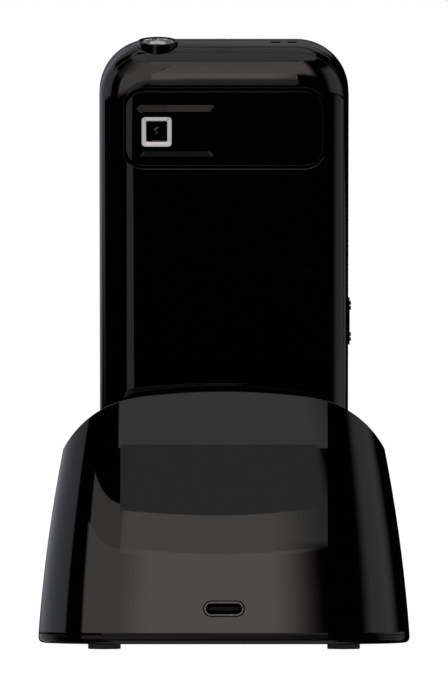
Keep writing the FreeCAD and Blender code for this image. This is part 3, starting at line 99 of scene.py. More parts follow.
def feed(tree, socket, value):
    """Give a socket a plain number, or the value of another socket."""
    if isinstance(value, (int, float)):
        socket.default_value = value
    else:
        tree.links.new(value, socket)


def math_node(tree, operation, first, second=0.0):
    """A math node fed by sockets or plain numbers."""
    node = add_node(tree, "ShaderNodeMath", operation=operation)
    for socket, value in zip(node.inputs, (first, second)):
        feed(tree, socket, value)
    return node.outputs["Value"]


def ramp_between(tree, value, low, high, to_low=0.0, to_high=1.0):
    """Carry a value smoothly from one range into another."""
    node = add_node(tree, "ShaderNodeMapRange", interpolation_type="SMOOTHSTEP")
    for label, amount in (("Value", value), ("From Min", low), ("From Max", high),
                          ("To Min", to_low), ("To Max", to_high)):
        feed(tree, node.inputs[label], amount)
    return node.outputs["Result"]


def mix_shaders(tree, share, first, second):
    """Mix two shaders, with the share of the second."""
    mix = add_node(tree, "ShaderNodeMixShader")
    tree.links.new(share, mix.inputs["Fac"])
    tree.links.new(first, mix.inputs[1])
    tree.links.new(second, mix.inputs[2])
    return mix.outputs["Shader"]


def make_polish_group():
    """Polished moulding: faint handling haze and the slight waviness of a mould."""
    group, entry, leave = new_group(
        "polish",
        [("Roughness", "NodeSocketFloat", 0.05), ("Haze", "NodeSocketFloat", 0.02),
         ("Haze Scale", "NodeSocketFloat", 60.0), ("Wave Scale", "NodeSocketFloat", 90.0)],
        [("Roughness", "NodeSocketFloat"), ("Height", "NodeSocketFloat")])
    place = add_node(group, "ShaderNodeTexCoord")
    haze = add_node(group, "ShaderNodeTexNoise")
    haze.inputs["Detail"].default_value = 5.0
    wave = add_node(group, "ShaderNodeTexNoise")
    wave.inputs["Detail"].default_value = 1.0
    link = group.links.new
    link(place.outputs["Object"], haze.inputs["Vector"])
    link(place.outputs["Object"], wave.inputs["Vector"])
    link(entry.outputs["Haze Scale"], haze.inputs["Scale"])
    link(entry.outputs["Wave Scale"], wave.inputs["Scale"])
    patches = ramp_between(group, haze.outputs["Fac"], 0.45, 0.75)
    added = math_node(group, "MULTIPLY", patches, entry.outputs["Haze"])
    total = math_node(group, "ADD", entry.outputs["Roughness"], added)
    link(total, leave.inputs["Roughness"])
    link(wave.outputs["Fac"], leave.inputs["Height"])
    return group


def make_grain_group():
    """Spark-eroded grain of a matt moulding, with slightly uneven shade."""
    group, entry, leave = new_group(
        "mould_grain",
        [("Colour", "NodeSocketColor", (0.02, 0.02, 0.02, 1.0)),
         ("Light Colour", "NodeSocketColor", (0.03, 0.03, 0.03, 1.0)),
         ("Grain Scale", "NodeSocketFloat", 2500.0),
         ("Roughness", "NodeSocketFloat", 0.5), ("Spread", "NodeSocketFloat", 0.1)],
        [("Colour", "NodeSocketColor"), ("Roughness", "NodeSocketFloat"),
         ("Height", "NodeSocketFloat")])
    place = add_node(group, "ShaderNodeTexCoord")
    cells = add_node(group, "ShaderNodeTexVoronoi", feature="SMOOTH_F1")
    cells.inputs["Smoothness"].default_value = 0.6
    cloud = add_node(group, "ShaderNodeTexNoise")
    cloud.inputs["Scale"].default_value = 120.0
    cloud.inputs["Detail"].default_value = 4.0
    shade = add_node(group, "ShaderNodeMix", data_type="RGBA")
    link = group.links.new
    link(place.outputs["Object"], cells.inputs["Vector"])
    link(place.outputs["Object"], cloud.inputs["Vector"])
    link(entry.outputs["Grain Scale"], cells.inputs["Scale"])
    link(cloud.outputs["Fac"], shade.inputs["Factor"])
    link(entry.outputs["Colour"], shade.inputs["A"])
    link(entry.outputs["Light Colour"], shade.inputs["B"])
    link(shade.outputs["Result"], leave.inputs["Colour"])
    varied = math_node(group, "MULTIPLY", cloud.outputs["Fac"], entry.outputs["Spread"])
    link(math_node(group, "ADD", entry.outputs["Roughness"], varied),
         leave.inputs["Roughness"])
    link(cells.outputs["Distance"], leave.inputs["Height"])
    return group


def make_brushed_group():
    """Fine drawn lines of rolled or brushed metal."""
    group, entry, leave = new_group(
        "brushed",
        [("Along", "NodeSocketVector", (40.0, 3000.0, 3000.0)),
         ("Roughness", "NodeSocketFloat", 0.25), ("Spread", "NodeSocketFloat", 0.15)],
        [("Roughness", "NodeSocketFloat"), ("Height", "NodeSocketFloat")])
    place = add_node(group, "ShaderNodeTexCoord")
    stretch = add_node(group, "ShaderNodeVectorMath", operation="MULTIPLY")
    lines = add_node(group, "ShaderNodeTexNoise")
    lines.inputs["Scale"].default_value = 1.0
    lines.inputs["Detail"].default_value = 3.0
    link = group.links.new
    link(place.outputs["Object"], stretch.inputs[0])
    link(entry.outputs["Along"], stretch.inputs[1])
    link(stretch.outputs["Vector"], lines.inputs["Vector"])
    varied = math_node(group, "MULTIPLY", lines.outputs["Fac"], entry.outputs["Spread"])
    link(math_node(group, "ADD", entry.outputs["Roughness"], varied),
         leave.inputs["Roughness"])
    link(lines.outputs["Fac"], leave.inputs["Height"])
    return group


def make_panel_fade_group():
    """How bright a light panel is across its face, fading near each edge."""
    group, entry, leave = new_group(
        "panel_fade",
        [("Left", "NodeSocketFloat", 0.02), ("Right", "NodeSocketFloat", 0.02),
         ("Low", "NodeSocketFloat", 0.02), ("High", "NodeSocketFloat", 0.02)],
        [("Fade", "NodeSocketFloat")])
    place = add_node(group, "ShaderNodeTexCoord")
    parts = add_node(group, "ShaderNodeSeparateXYZ")
    group.links.new(place.outputs["UV"], parts.inputs["Vector"])
    fades = []
    for axis, first, last in (("X", "Left", "Right"), ("Y", "Low", "High")):
        along = parts.outputs[axis]
        to_last = math_node(group, "SUBTRACT", 1.0, along)
        from_first = ramp_between(group, along, 0.0, entry.outputs[first])
        from_last = ramp_between(group, to_last, 0.0, entry.outputs[last])
        fades.append(math_node(group, "MULTIPLY", from_first, from_last))
    group.links.new(math_node(group, "MULTIPLY", *fades), leave.inputs["Fade"])
    return group


# A facet follows the drawn form where its normal is nearly the drawn one, as their dot
# product says, or where it lies nearly on the drawn surface. Below the height of
# FOOT_EDGE over the seam, the back tips down and mirrors the dark. Lengths in metres.
FORM_ALIKE = (0.95, 0.975)
FORM_NEAR = (0.00005, 0.00008)
FOOT_EDGE = (0.00038, 0.00046)
FOOT_TIP = 0.17


def make_drawn_form_group():
    """Exact slopes of the cradle's drawn sides and back, wherever its facets follow them."""
    group, entry, leave = new_group(
        "drawn_form",
        [("Half Width", "NodeSocketFloat", 0.04265), ("Half Depth", "NodeSocketFloat", 0.035),
         ("Flat Half", "NodeSocketFloat", 0.0237), ("Seam", "NodeSocketFloat", 0.00345),
         ("Side Slope", "NodeSocketFloat", 0.0745), ("Side Bow", "NodeSocketFloat", 1.41),
         ("Rear Slope", "NodeSocketFloat", 0.087), ("Rear Bow", "NodeSocketFloat", 3.19)],
        [("Normal", "NodeSocketVector")])
    link = group.links.new
    place = add_node(group, "ShaderNodeTexCoord")
    parts = add_node(group, "ShaderNodeSeparateXYZ")
    link(place.outputs["Object"], parts.inputs["Vector"])
    facet = add_node(group, "ShaderNodeNewGeometry").outputs["Normal"]
    rise = math_node(group, "SUBTRACT", parts.outputs["Z"], entry.outputs["Seam"])
    lean = {}
    inset = {}
    for way in ("Side", "Rear"):
        bend = math_node(group, "MULTIPLY", rise, entry.outputs[way + " Bow"])
        half_way = math_node(group, "ADD", bend, entry.outputs[way + " Slope"])
        lean[way] = math_node(group, "ADD", half_way, bend)
        inset[way] = math_node(group, "MULTIPLY", half_way, rise)
    middle = math_node(group, "SUBTRACT", entry.outputs["Half Depth"],
                       entry.outputs["Half Width"])
    middle = math_node(group, "ADD", middle, entry.outputs["Flat Half"])
    middle = math_node(group, "SUBTRACT", middle, inset["Rear"])
    middle = math_node(group, "ADD", middle, inset["Side"])
    out = math_node(group, "ABSOLUTE", parts.outputs["X"])
    out = math_node(group, "SUBTRACT", out, entry.outputs["Flat Half"])
    out = math_node(group, "MAXIMUM", out, 0.0)
    out = math_node(group, "MULTIPLY", out, math_node(group, "SIGN", parts.outputs["X"]))
    back = math_node(group, "SUBTRACT", parts.outputs["Y"], middle)
    back = math_node(group, "MAXIMUM", back, 0.0)
    level = add_node(group, "ShaderNodeCombineXYZ")
    link(out, level.inputs["X"])
    link(back, level.inputs["Y"])
    facing = add_node(group, "ShaderNodeVectorMath", operation="NORMALIZE")
    link(level.outputs["Vector"], facing.inputs[0])
    ways = add_node(group, "ShaderNodeSeparateXYZ")
    link(facing.outputs["Vector"], ways.inputs["Vector"])
    steeper = math_node(group, "SUBTRACT", lean["Rear"], lean["Side"])
    steeper = math_node(group, "MULTIPLY", steeper, ways.outputs["Y"])
    sloped = add_node(group, "ShaderNodeCombineXYZ")
    link(ways.outputs["X"], sloped.inputs["X"])
    link(ways.outputs["Y"], sloped.inputs["Y"])
    foot_edge = ramp_between(group, rise, *FOOT_EDGE, FOOT_TIP, 0.0)
    foot_edge = math_node(group, "MULTIPLY", foot_edge, ways.outputs["Y"])
    upright = math_node(group, "ADD", lean["Side"], steeper)
    link(math_node(group, "SUBTRACT", upright, foot_edge), sloped.inputs["Z"])
    drawn = add_node(group, "ShaderNodeVectorMath", operation="NORMALIZE")
    link(sloped.outputs["Vector"], drawn.inputs[0])
    match = add_node(group, "ShaderNodeVectorMath", operation="DOT_PRODUCT")
    link(drawn.outputs["Vector"], match.inputs[0])
    link(facet, match.inputs[1])
    share = ramp_between(group, match.outputs["Value"], *FORM_ALIKE)
    reach = add_node(group, "ShaderNodeVectorMath", operation="LENGTH")
    link(level.outputs["Vector"], reach.inputs[0])
    radius = math_node(group, "SUBTRACT", entry.outputs["Half Width"],
                       entry.outputs["Flat Half"])
    radius = math_node(group, "SUBTRACT", radius, inset["Side"])
    apart = math_node(group, "SUBTRACT", reach.outputs["Value"], radius)
    apart = math_node(group, "ABSOLUTE", apart)
    on_form = ramp_between(group, apart, *FORM_NEAR, 1.0, 0.0)
    share = math_node(group, "MAXIMUM", share, on_form)
    mix = add_node(group, "ShaderNodeMix", data_type="VECTOR")
    link(share, mix.inputs["Factor"])
    link(facet, mix.inputs["A"])
    link(drawn.outputs["Vector"], mix.inputs["B"])
    whole = add_node(group, "ShaderNodeVectorMath", operation="NORMALIZE")
    link(mix.outputs["Result"], whole.inputs[0])
    link(whole.outputs["Vector"], leave.inputs["Normal"])
    return group


POLISH = make_polish_group()
GRAIN = make_grain_group()
BRUSHED = make_brushed_group()
PANEL_FADE = make_panel_fade_group()
DRAWN_FORM = make_drawn_form_group()


def place_group(tree, group, **values):
    """A group placed in a material, with its input values by name."""
    node = add_node(tree, "ShaderNodeGroup", node_tree=group)
    for label, value in values.items():
        node.inputs[label.replace("_", " ")].default_value = value
    return node


def new_material(name):
    """A new material with its tree and its main shader."""
    material = bpy.data.materials.new(name)
    material.use_nodes = True
    return material, material.node_tree, material.node_tree.nodes["Principled BSDF"]


def add_relief(tree, shader, height, strength, distance, edge):
    """Surface relief from a height, over edges that are softened by a radius in millimetres."""
    normal = None
    if edge > 0.0:
        soft = add_node(tree, "ShaderNodeBevel", samples=8)
        soft.inputs["Radius"].default_value = edge * MM
        normal = soft.outputs["Normal"]
    if strength > 0.0:
        bump = add_node(tree, "ShaderNodeBump")
        bump.inputs["Strength"].default_value = strength
        bump.inputs["Distance"].default_value = distance
        tree.links.new(height, bump.inputs["Height"])
        if normal is not None:
            tree.links.new(normal, bump.inputs["Normal"])
        normal = bump.outputs["Normal"]
    if normal is not None:
        tree.links.new(normal, shader.inputs["Normal"])


# Radii of softened edges in millimetres, and how finely the lines of drawn metal lie.
MOULDED_EDGE = 0.1
METAL_EDGE = 0.08
BRUSH_WAY = (40.0, 3000.0, 3000.0)


def polished(name, colour, roughness, haze, ior=1.5, wave=0.02, edge=MOULDED_EDGE):
    """High-gloss injection-moulded plastic."""
    material, tree, shader = new_material(name)
    shader.inputs["Base Color"].default_value = (*colour, 1.0)
    shader.inputs["IOR"].default_value = ior
    look = place_group(tree, POLISH, Roughness=roughness, Haze=haze)
    tree.links.new(look.outputs["Roughness"], shader.inputs["Roughness"])
    add_relief(tree, shader, look.outputs["Height"], strength=wave, distance=0.0002, edge=edge)
    return material


def matt(name, colour, light_colour, roughness, scale=2500.0, relief=0.15, gleam=0.5):
    """Grained plastic or rubber."""
    material, tree, shader = new_material(name)
    shader.inputs["Specular IOR Level"].default_value = gleam
    look = place_group(tree, GRAIN, Colour=(*colour, 1.0), Light_Colour=(*light_colour, 1.0),
                       Grain_Scale=scale, Roughness=roughness, Spread=0.12)
    tree.links.new(look.outputs["Colour"], shader.inputs["Base Color"])
    tree.links.new(look.outputs["Roughness"], shader.inputs["Roughness"])
    add_relief(tree, shader, look.outputs["Height"], strength=relief, distance=0.0001,
               edge=MOULDED_EDGE)
    return material


def metal(name, colour, roughness, spread=0.12):
    """Rolled, drawn or plated metal."""
    material, tree, shader = new_material(name)
    shader.inputs["Base Color"].default_value = (*colour, 1.0)
    shader.inputs["Metallic"].default_value = 1.0
    look = place_group(tree, BRUSHED, Along=BRUSH_WAY, Roughness=roughness, Spread=spread)
    tree.links.new(look.outputs["Roughness"], shader.inputs["Roughness"])
    add_relief(tree, shader, look.outputs["Height"], strength=0.05, distance=0.00005,
               edge=METAL_EDGE)
    return material


def clear(name, colour):
    """Clear or tinted window material."""
    material, tree, shader = new_material(name)
    shader.inputs["Base Color"].default_value = (*colour, 1.0)
    shader.inputs["Transmission Weight"].default_value = 1.0
    shader.inputs["IOR"].default_value = 1.5
    look = place_group(tree, POLISH, Roughness=0.01, Haze=0.01)
    tree.links.new(look.outputs["Roughness"], shader.inputs["Roughness"])
    return material


FINISH = {
    "cradle_gloss": polished("cradle_gloss", (0.0006, 0.0006, 0.0007), 0.012, 0.01, wave=0.0,
                             edge=0.0),
    "cover_gloss": polished("cover_gloss", (0.0005, 0.0005, 0.0006), 0.012, 0.01, wave=0.0,
                            edge=0.14),
    "band_black": polished("band_black", (0.0008, 0.0008, 0.0009), 0.07, 0.03, ior=1.4),
    "front_gloss": polished("front_gloss", (0.001, 0.001, 0.0012), 0.03, 0.02, wave=0.0),
    "base_black": polished("base_black", (0.0008, 0.0008, 0.0009), 0.06, 0.03, ior=1.33),
    "key_black": polished("key_black", (0.006, 0.006, 0.007), 0.16, 0.05),
    "key_silver": polished("key_silver", (0.42, 0.43, 0.45), 0.22, 0.05),
    "call_green": polished("call_green", (0.02, 0.33, 0.06), 0.2, 0.05),
    "end_red": polished("end_red", (0.5, 0.015, 0.012), 0.2, 0.05),
    "pocket_black": matt("pocket_black", (0.006, 0.006, 0.006), (0.009, 0.009, 0.009), 0.5),
    "deck_black": matt("deck_black", (0.008, 0.008, 0.009), (0.011, 0.011, 0.012), 0.38),
    "dark_plastic": matt("dark_plastic", (0.01, 0.01, 0.01), (0.015, 0.015, 0.015), 0.45),
    "foot_rubber": matt("foot_rubber", (0.012, 0.012, 0.012), (0.02, 0.02, 0.02), 0.75,
                        scale=1400.0, relief=0.3),
    "membrane_rubber": matt("membrane_rubber", (0.5, 0.5, 0.48), (0.56, 0.56, 0.54), 0.6),
    "battery_wrap": matt("battery_wrap", (0.03, 0.05, 0.1), (0.04, 0.06, 0.12), 0.4),
    "circuit_board": matt("circuit_board", (0.01, 0.09, 0.03), (0.015, 0.12, 0.04), 0.35,
                          scale=900.0),
    "flex_amber": matt("flex_amber", (0.55, 0.2, 0.03), (0.6, 0.24, 0.04), 0.3, scale=600.0),
    "steel": metal("steel", (0.56, 0.56, 0.57), 0.24),
    "ballast_steel": metal("ballast_steel", (0.4, 0.39, 0.38), 0.4, 0.2),
    "gold_contact": metal("gold_contact", (0.95, 0.68, 0.28), 0.15, 0.1),
    "chrome_trim": metal("chrome_trim", (0.78, 0.78, 0.8), 0.08, 0.08),
    "lens_glass": clear("lens_glass", (0.7, 0.71, 0.72)),
    "torch_glass": clear("torch_glass", (0.97, 0.98, 1.0)),
    "screen_glass": clear("screen_glass", (0.8, 0.82, 0.85)),
}
CHROME_BOWL = metal("chrome_bowl", (0.93, 0.93, 0.94), 0.05, 0.05)
LED_DIE = matt("led_die", (0.8, 0.65, 0.12), (0.85, 0.72, 0.2), 0.35)
LENS_COAT = polished("lens_coat", (0.012, 0.008, 0.02), 0.03, 0.01, ior=1.9)
LEGEND_WHITE = matt("legend_white", (0.75, 0.75, 0.75), (0.8, 0.8, 0.8), 0.4)
SCREEN_OFF = polished("screen_off", (0.012, 0.014, 0.017), 0.12, 0.05)
PORT_STEEL = metal("port_steel", (0.34, 0.34, 0.34), 0.3, 0.1)
FRAME_CHROME = metal("frame_chrome", (0.5, 0.5, 0.51), 0.1, 0.1)
PORT_TONGUE = matt("port_tongue", (0.004, 0.004, 0.004), (0.006, 0.006, 0.006), 0.5, gleam=0.2)
# Near-black matt: the socket's black insert, and painted shade in the screw heads' cross recesses.
PORT_BLACK_AND_RECESS_SHADE = matt("port_black_and_recess_shade", (0.002, 0.002, 0.002), (0.003, 0.003, 0.003), 0.6, gleam=0.1)
BARREL_BLACK = matt("barrel_black", (0.002, 0.002, 0.002), (0.003, 0.003, 0.003), 0.55, gleam=0.1)
ISLAND_GLOSS = polished("island_gloss", (0.0005, 0.0005, 0.0006), 0.03, 0.01, ior=1.31, wave=0.0)


def follow_drawn_form(material):
    """Mirror in the cradle's drawn curves instead of in its facets."""
    tree = material.node_tree
    look = place_group(tree, DRAWN_FORM)
    tree.links.new(look.outputs["Normal"], tree.nodes["Principled BSDF"].inputs["Normal"])


def dress_solids():
    """Give every solid of the frame the finish that the record names for it."""
    follow_drawn_form(FINISH["cradle_gloss"])
    for entry in frame["record"]["subparts"]:
        solid = frame["nodes"][entry["node"]]
        solid.data.materials.clear()
        solid.data.materials.append(FINISH[entry["material_slot"]])
    frame["nodes"]["display_panel"].data.materials[0] = SCREEN_OFF
    frame["nodes"]["usb_c_socket"].data.materials[0] = PORT_STEEL
    frame["nodes"]["usb_c_tongue"].data.materials[0] = PORT_TONGUE
    frame["nodes"]["camera_island"].data.materials[0] = ISLAND_GLOSS


# ------------------------------------------------------------------ mesh helpers

SHARP_ANGLE = math.radians(35.0)


def finished_mesh(bm, name):
    """Turn a bmesh into a mesh."""
    mesh = bpy.data.meshes.new(name)
    bm.to_mesh(mesh)
    bm.free()
    return mesh


def add_object(name, data):
    """Put a new object into the scene."""
    thing = bpy.data.objects.new(name, data)
    bpy.context.scene.collection.objects.link(thing)
    return thing


def keep(bm, name, finish, body, space, smooth=True):
    """Turn a bmesh into a piece that rides on a body, or on none when no body is given."""
    bmesh.ops.recalc_face_normals(bm, faces=bm.faces)
    mesh = finished_mesh(bm, name)
    mesh.transform(space)
    for face in mesh.polygons:
        face.use_smooth = smooth
    if smooth:
        mesh.set_sharp_from_angle(angle=SHARP_ANGLE)
    mesh.materials.append(finish)
    piece = add_object(name, mesh)
    if body is not None:
        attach(piece, body)
    return piece


def add_block(bm, centre, size):
    """A block of a size about its centre."""
    bmesh.ops.create_cube(bm, size=1.0, matrix=Matrix.Translation(centre)
                          @ Matrix.Diagonal((*size, 1.0)))


def turn(bm, profile, centre, steps, along="Z"):
    """Spin a profile of (radius, level) pairs about an axis through a centre."""
    rings = []
    for radius, level in profile:
        ring = []
        for step in range(steps if radius > 0.0 else 1):
            angle = 2.0 * math.pi * step / steps
            first = radius * math.cos(angle)
            second = radius * math.sin(angle)
            spot = (first, second, level) if along == "Z" else (first, level, second)
            ring.append(bm.verts.new(Vector(spot) + centre))
        rings.append(ring)
    for lower, upper in zip(rings[:-1], rings[1:]):
        for step in range(steps):
            after = (step + 1) % steps
            corners = [lower[step % len(lower)], lower[after % len(lower)],
                       upper[after % len(upper)], upper[step % len(upper)]]
            bm.faces.new(list(dict.fromkeys(corners)))


def skin(bm, rings):
    """Join rings of the same number of vertices with four-sided faces, first to last."""
    for ring, following in zip(rings[:-1], rings[1:]):
        for step in range(len(ring)):
            after = (step + 1) % len(ring)
            bm.faces.new([ring[step], ring[after], following[after], following[step]])


CORNER_STEPS = 8


def rounded_rings(bm, levels, centre, closed=False, capped=False):
    """Skin over rounded rectangles of (width, height, radius, level), first to last."""
    rings = []
    for wide, tall, radius, level in levels:
        ring = []
        for corner in range(4):
            middle_out = (wide / 2.0 - radius) * (1, -1, -1, 1)[corner]
            middle_up = (tall / 2.0 - radius) * (1, 1, -1, -1)[corner]
            for step in range(CORNER_STEPS + 1):
                angle = math.radians(90.0 * corner + 90.0 * step / CORNER_STEPS)
                across = middle_out + radius * math.cos(angle)
                up = middle_up + radius * math.sin(angle)
                ring.append(bm.verts.new(centre + Vector((across, level, up))))
        rings.append(ring)
    if closed:
        rings.append(rings[0])
    skin(bm, rings)
    if capped:
        bm.faces.new(rings[0])
        bm.faces.new(rings[-1])


# --------------------------------------------------------------- torch and camera

# The torch's levels count up from the phone's top edge, the camera's out from its rear.
BOWL_STEPS = 12
BOWL_LOW = -2.1
BOWL_RIM = -0.56
BOWL_LOW_RADIUS = 1.4
BOWL_RIM_RADIUS = 3.95
BOWL_OUTER_RADIUS = 4.02
BOWL_SKIRT = 0.55


def make_torch():
    """A plated bowl with its LED under the clear lens."""
    profile = []
    for step in range(BOWL_STEPS + 1):
        share = step / BOWL_STEPS
        radius = BOWL_LOW_RADIUS + (BOWL_RIM_RADIUS - BOWL_LOW_RADIUS) * math.sqrt(share)
        profile.append((radius, BOWL_LOW + (BOWL_RIM - BOWL_LOW) * share))
    profile += [(BOWL_OUTER_RADIUS, BOWL_RIM), (BOWL_OUTER_RADIUS, BOWL_LOW + BOWL_SKIRT)]
    bowl = bmesh.new()
    turn(bowl, profile, TORCH, 96)
    keep(bowl, "torch_bowl", CHROME_BOWL, "phone", PHONE)
    die = bmesh.new()
    turn(die, [(0.0, -0.99), (0.55, -0.98), (0.9, -1.03), (0.95, -1.15)], TORCH, 32)
    keep(die, "torch_die", LED_DIE, "phone", PHONE)


def make_camera():
    """Stepped lens barrel with a coated front element, seen through its window."""
    barrel = bmesh.new()
    turn(barrel, [(2.1, -5.6), (2.1, -0.02), (1.95, 0.0), (1.75, 0.0), (1.7, -0.12),
                  (1.35, -0.14), (1.3, -0.35), (1.0, -0.38), (0.95, -0.75), (0.0, -0.75)],
         CAMERA, 64, along="Y")
    add_block(barrel, CAMERA + Vector((0.0, -3.6, 0.0)), (8.0, 4.4, 8.0))
    housing = keep(barrel, "camera_barrel", BARREL_BLACK, "phone", PHONE)
    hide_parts("camera_module")
    element = bmesh.new()
    turn(element, [(0.0, -0.3), (0.3, -0.32), (0.6, -0.4), (0.85, -0.52), (0.94, -0.6)],
         CAMERA, 48, along="Y")
    keep(element, "camera_element", LENS_COAT, "phone", PHONE)


def make_camera_frame():
    """Plated square frame, dished towards the lens."""
    profile = [(6.9, 0.8, 0.02), (6.9, 0.8, 1.12), (6.84, 0.77, 1.2), (6.7, 0.7, 1.24),
               (5.0, 0.35, 0.86), (4.82, 0.3, 0.78), (4.7, 0.3, 0.66), (4.7, 0.3, 0.02)]
    bm = bmesh.new()
    rounded_rings(bm, [(side, side, radius, level) for side, radius, level in profile],
                  CAMERA, closed=True)
    ring = keep(bm, "camera_bezel", FRAME_CHROME, "phone", PHONE)
    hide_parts("camera_frame")
    return ring


# ------------------------------------------------------------------------ legends

KEY_FACE = 0.29
DIGIT_SIZE = 5.0
STAR_SIZE = 8.5
PRINT_THICK = 0.02
SIGN_THICK = 0.04


def raised_text(text, size, spot, name, body, finish):
    """A printed character, as a thin mesh on a key."""
    curve = bpy.data.curves.new(name, "FONT")
    curve.body = text
    curve.size = size
    curve.align_x = "CENTER"
    curve.align_y = "CENTER"
    curve.extrude = PRINT_THICK
    holder = add_object(name, curve)
    bpy.context.view_layer.update()
    mesh = bpy.data.meshes.new_from_object(holder)
    bpy.data.objects.remove(holder)
    mesh.name = name
    average = sum((v.co for v in mesh.vertices), Vector()) / len(mesh.vertices)
    low = min(v.co.y for v in mesh.vertices)
    high = max(v.co.y for v in mesh.vertices)
    middle = Vector((average.x, (low + high) / 2.0, 0.0))
    face_out = Matrix.Rotation(math.radians(90.0), 4, "X")
    mesh.transform(PHONE @ Matrix.Translation(spot) @ face_out @ Matrix.Translation(-middle))
    mesh.materials.append(finish)
    piece = add_object(name, mesh)
    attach(piece, body)


KEYS = [["star", "0", "hash"], ["7", "8", "9"], ["4", "5", "6"], ["1", "2", "3"]]
SIGNS = {"star": "*", "hash": "#"}


def make_legends():
    """Plain digits, a star and a hash on the keypad."""
    for row, names in enumerate(KEYS):
        for column, name in enumerate(names):
            spot = Vector(((column - 1) * KEY_PITCH, KEY_FACE, ROW_LOW + row * ROW_PITCH))
            size = STAR_SIZE if name == "star" else DIGIT_SIZE
            raised_text(SIGNS.get(name, name), size, spot, "legend_" + name, "key_" + name,
                        LEGEND_WHITE)


def flat_shape(outlines, name, body, finish, spot):
    """Thin raised signs from outlines in the plane of a key."""
    bm = bmesh.new()
    for outline in outlines:
        verts = [bm.verts.new(spot + Vector((x, 0.0, z))) for x, z in outline]
        face = bm.faces.new(verts)
        pushed = bmesh.ops.extrude_face_region(bm, geom=[face])
        moved = [v for v in pushed["geom"] if isinstance(v, bmesh.types.BMVert)]
        bmesh.ops.translate(bm, verts=moved, vec=Vector((0.0, -SIGN_THICK, 0.0)))
    keep(bm, name, finish, body, PHONE, smooth=False)


HANDSET_STEPS = 16
HANDSET_START = -20.0
HANDSET_SWEEP = 220.0
HANDSET_OUTER = (2.6, 1.5)
HANDSET_INNER = (1.5, 0.55)
HANDSET_DROP = 0.1


def handset(tilt):
    """Outline of a telephone handset, turned by an angle."""
    outer = []
    inner = []
    for step in range(HANDSET_STEPS + 1):
        swept = step * HANDSET_SWEEP / HANDSET_STEPS
        back = math.radians(HANDSET_START + HANDSET_SWEEP - swept)
        outer.append((HANDSET_OUTER[0] * math.cos(back), HANDSET_OUTER[1] * math.sin(back)))
        forth = math.radians(HANDSET_START + swept)
        inner.append((HANDSET_INNER[0] * math.cos(forth),
                      HANDSET_INNER[1] * math.sin(forth) - HANDSET_DROP))
    turned = Matrix.Rotation(math.radians(tilt), 2)
    return [tuple(turned @ Vector(point)) for point in outer + inner]


FACE_KEY_STANDS = 0.4
SIGN_SUNK = 0.01
CALL_TILT = 35.0
ARROW_REACH = (7.6, 6.0)
ARROW_HALF = 0.9
ARROW_TALL = 1.1


def make_face_signs():
    """Plain signs on the call, end and navigation keys."""
    top = FRONT_FACE - FACE_KEY_STANDS + SIGN_SUNK
    flat_shape([handset(CALL_TILT)], "call_sign", "call_key", LEGEND_WHITE,
               Vector((-CALL_OUT, top, FACE_KEYS_HIGH)))
    flat_shape([handset(0.0)], "end_sign", "end_key", LEGEND_WHITE,
               Vector((CALL_OUT, top, FACE_KEYS_HIGH)))
    arrows = []
    for quarter in range(4):
        turned = Matrix.Rotation(math.radians(90.0 * quarter), 2)
        reach = ARROW_REACH[quarter % 2]
        arrow = [Vector((-ARROW_HALF, reach)), Vector((ARROW_HALF, reach)),
                 Vector((0.0, reach + ARROW_TALL))]
        arrows.append([tuple(turned @ point) for point in arrow])
    flat_shape(arrows, "nav_arrows", "nav_key", FINISH["key_black"],
               Vector((0.0, top, FACE_KEYS_HIGH)))


# ------------------------------------------------------------------ small details

PAD_COUNT = 12
PAD_PITCH = 0.5
PAD_SIZE = (0.25, 3.2, 0.04)
PAD_INSIDE = 2.1
PAD_UP = 0.36


def make_usb_pads():
    """Plated contact strips on both faces of the tongue, and the dark insert that holds it."""
    low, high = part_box("usb_c_tongue")
    back = high.y / MM
    level = (low.z + high.z) / (2.0 * MM)
    bm = bmesh.new()
    for face in (-1, 1):
        for index in range(PAD_COUNT):
            across = (index - (PAD_COUNT - 1) / 2.0) * PAD_PITCH
            add_block(bm, Vector((across, back - PAD_INSIDE, level + face * PAD_UP)), PAD_SIZE)
    keep(bm, "usb_c_pads", FINISH["gold_contact"], "cradle", WORLD, smooth=False)
    insert = bmesh.new()
    rounded_rings(insert, [(8.3, 2.52, 1.25, -6.4), (8.3, 2.52, 1.25, -5.6), (8.1, 2.3, 1.14, -5.5),
                           (7.0, 1.2, 0.5, -5.5), (6.95, 1.1, 0.5, -5.1)],
                  Vector((0.0, back, level)), capped=True)
    keep(insert, "usb_c_insert", PORT_BLACK_AND_RECESS_SHADE, "cradle", WORLD)


# The flat cable leaves the rear half low down, rolls over at the fold and enters the
# front half. Its path is given as levels from the screen to the rear, and heights.
RIBBON_WIDE = 8.0
RIBBON_THICK = 0.12
RIBBON_REAR_END = 3.46
RIBBON_BACK = -0.05
RIBBON_FRONT = -1.6
RIBBON_FRONT_END = -2.55
RIBBON_LOW = 62.0
RIBBON_HIGH = 66.0
RIBBON_FOLD = 89.8
RIBBON_ROLL = 0.155
RIBBON_ROLL_SHARE = 0.25
RIBBON_BEND = 0.2
RIBBON_STEPS = 12


def line_points(first, last):
    """Evenly spaced points of the ribbon's path, both ends included."""
    points = []
    for step in range(RIBBON_STEPS + 1):
        share = step / RIBBON_STEPS
        points.append(tuple(a + (b - a) * share for a, b in zip(first, last)))
    return points


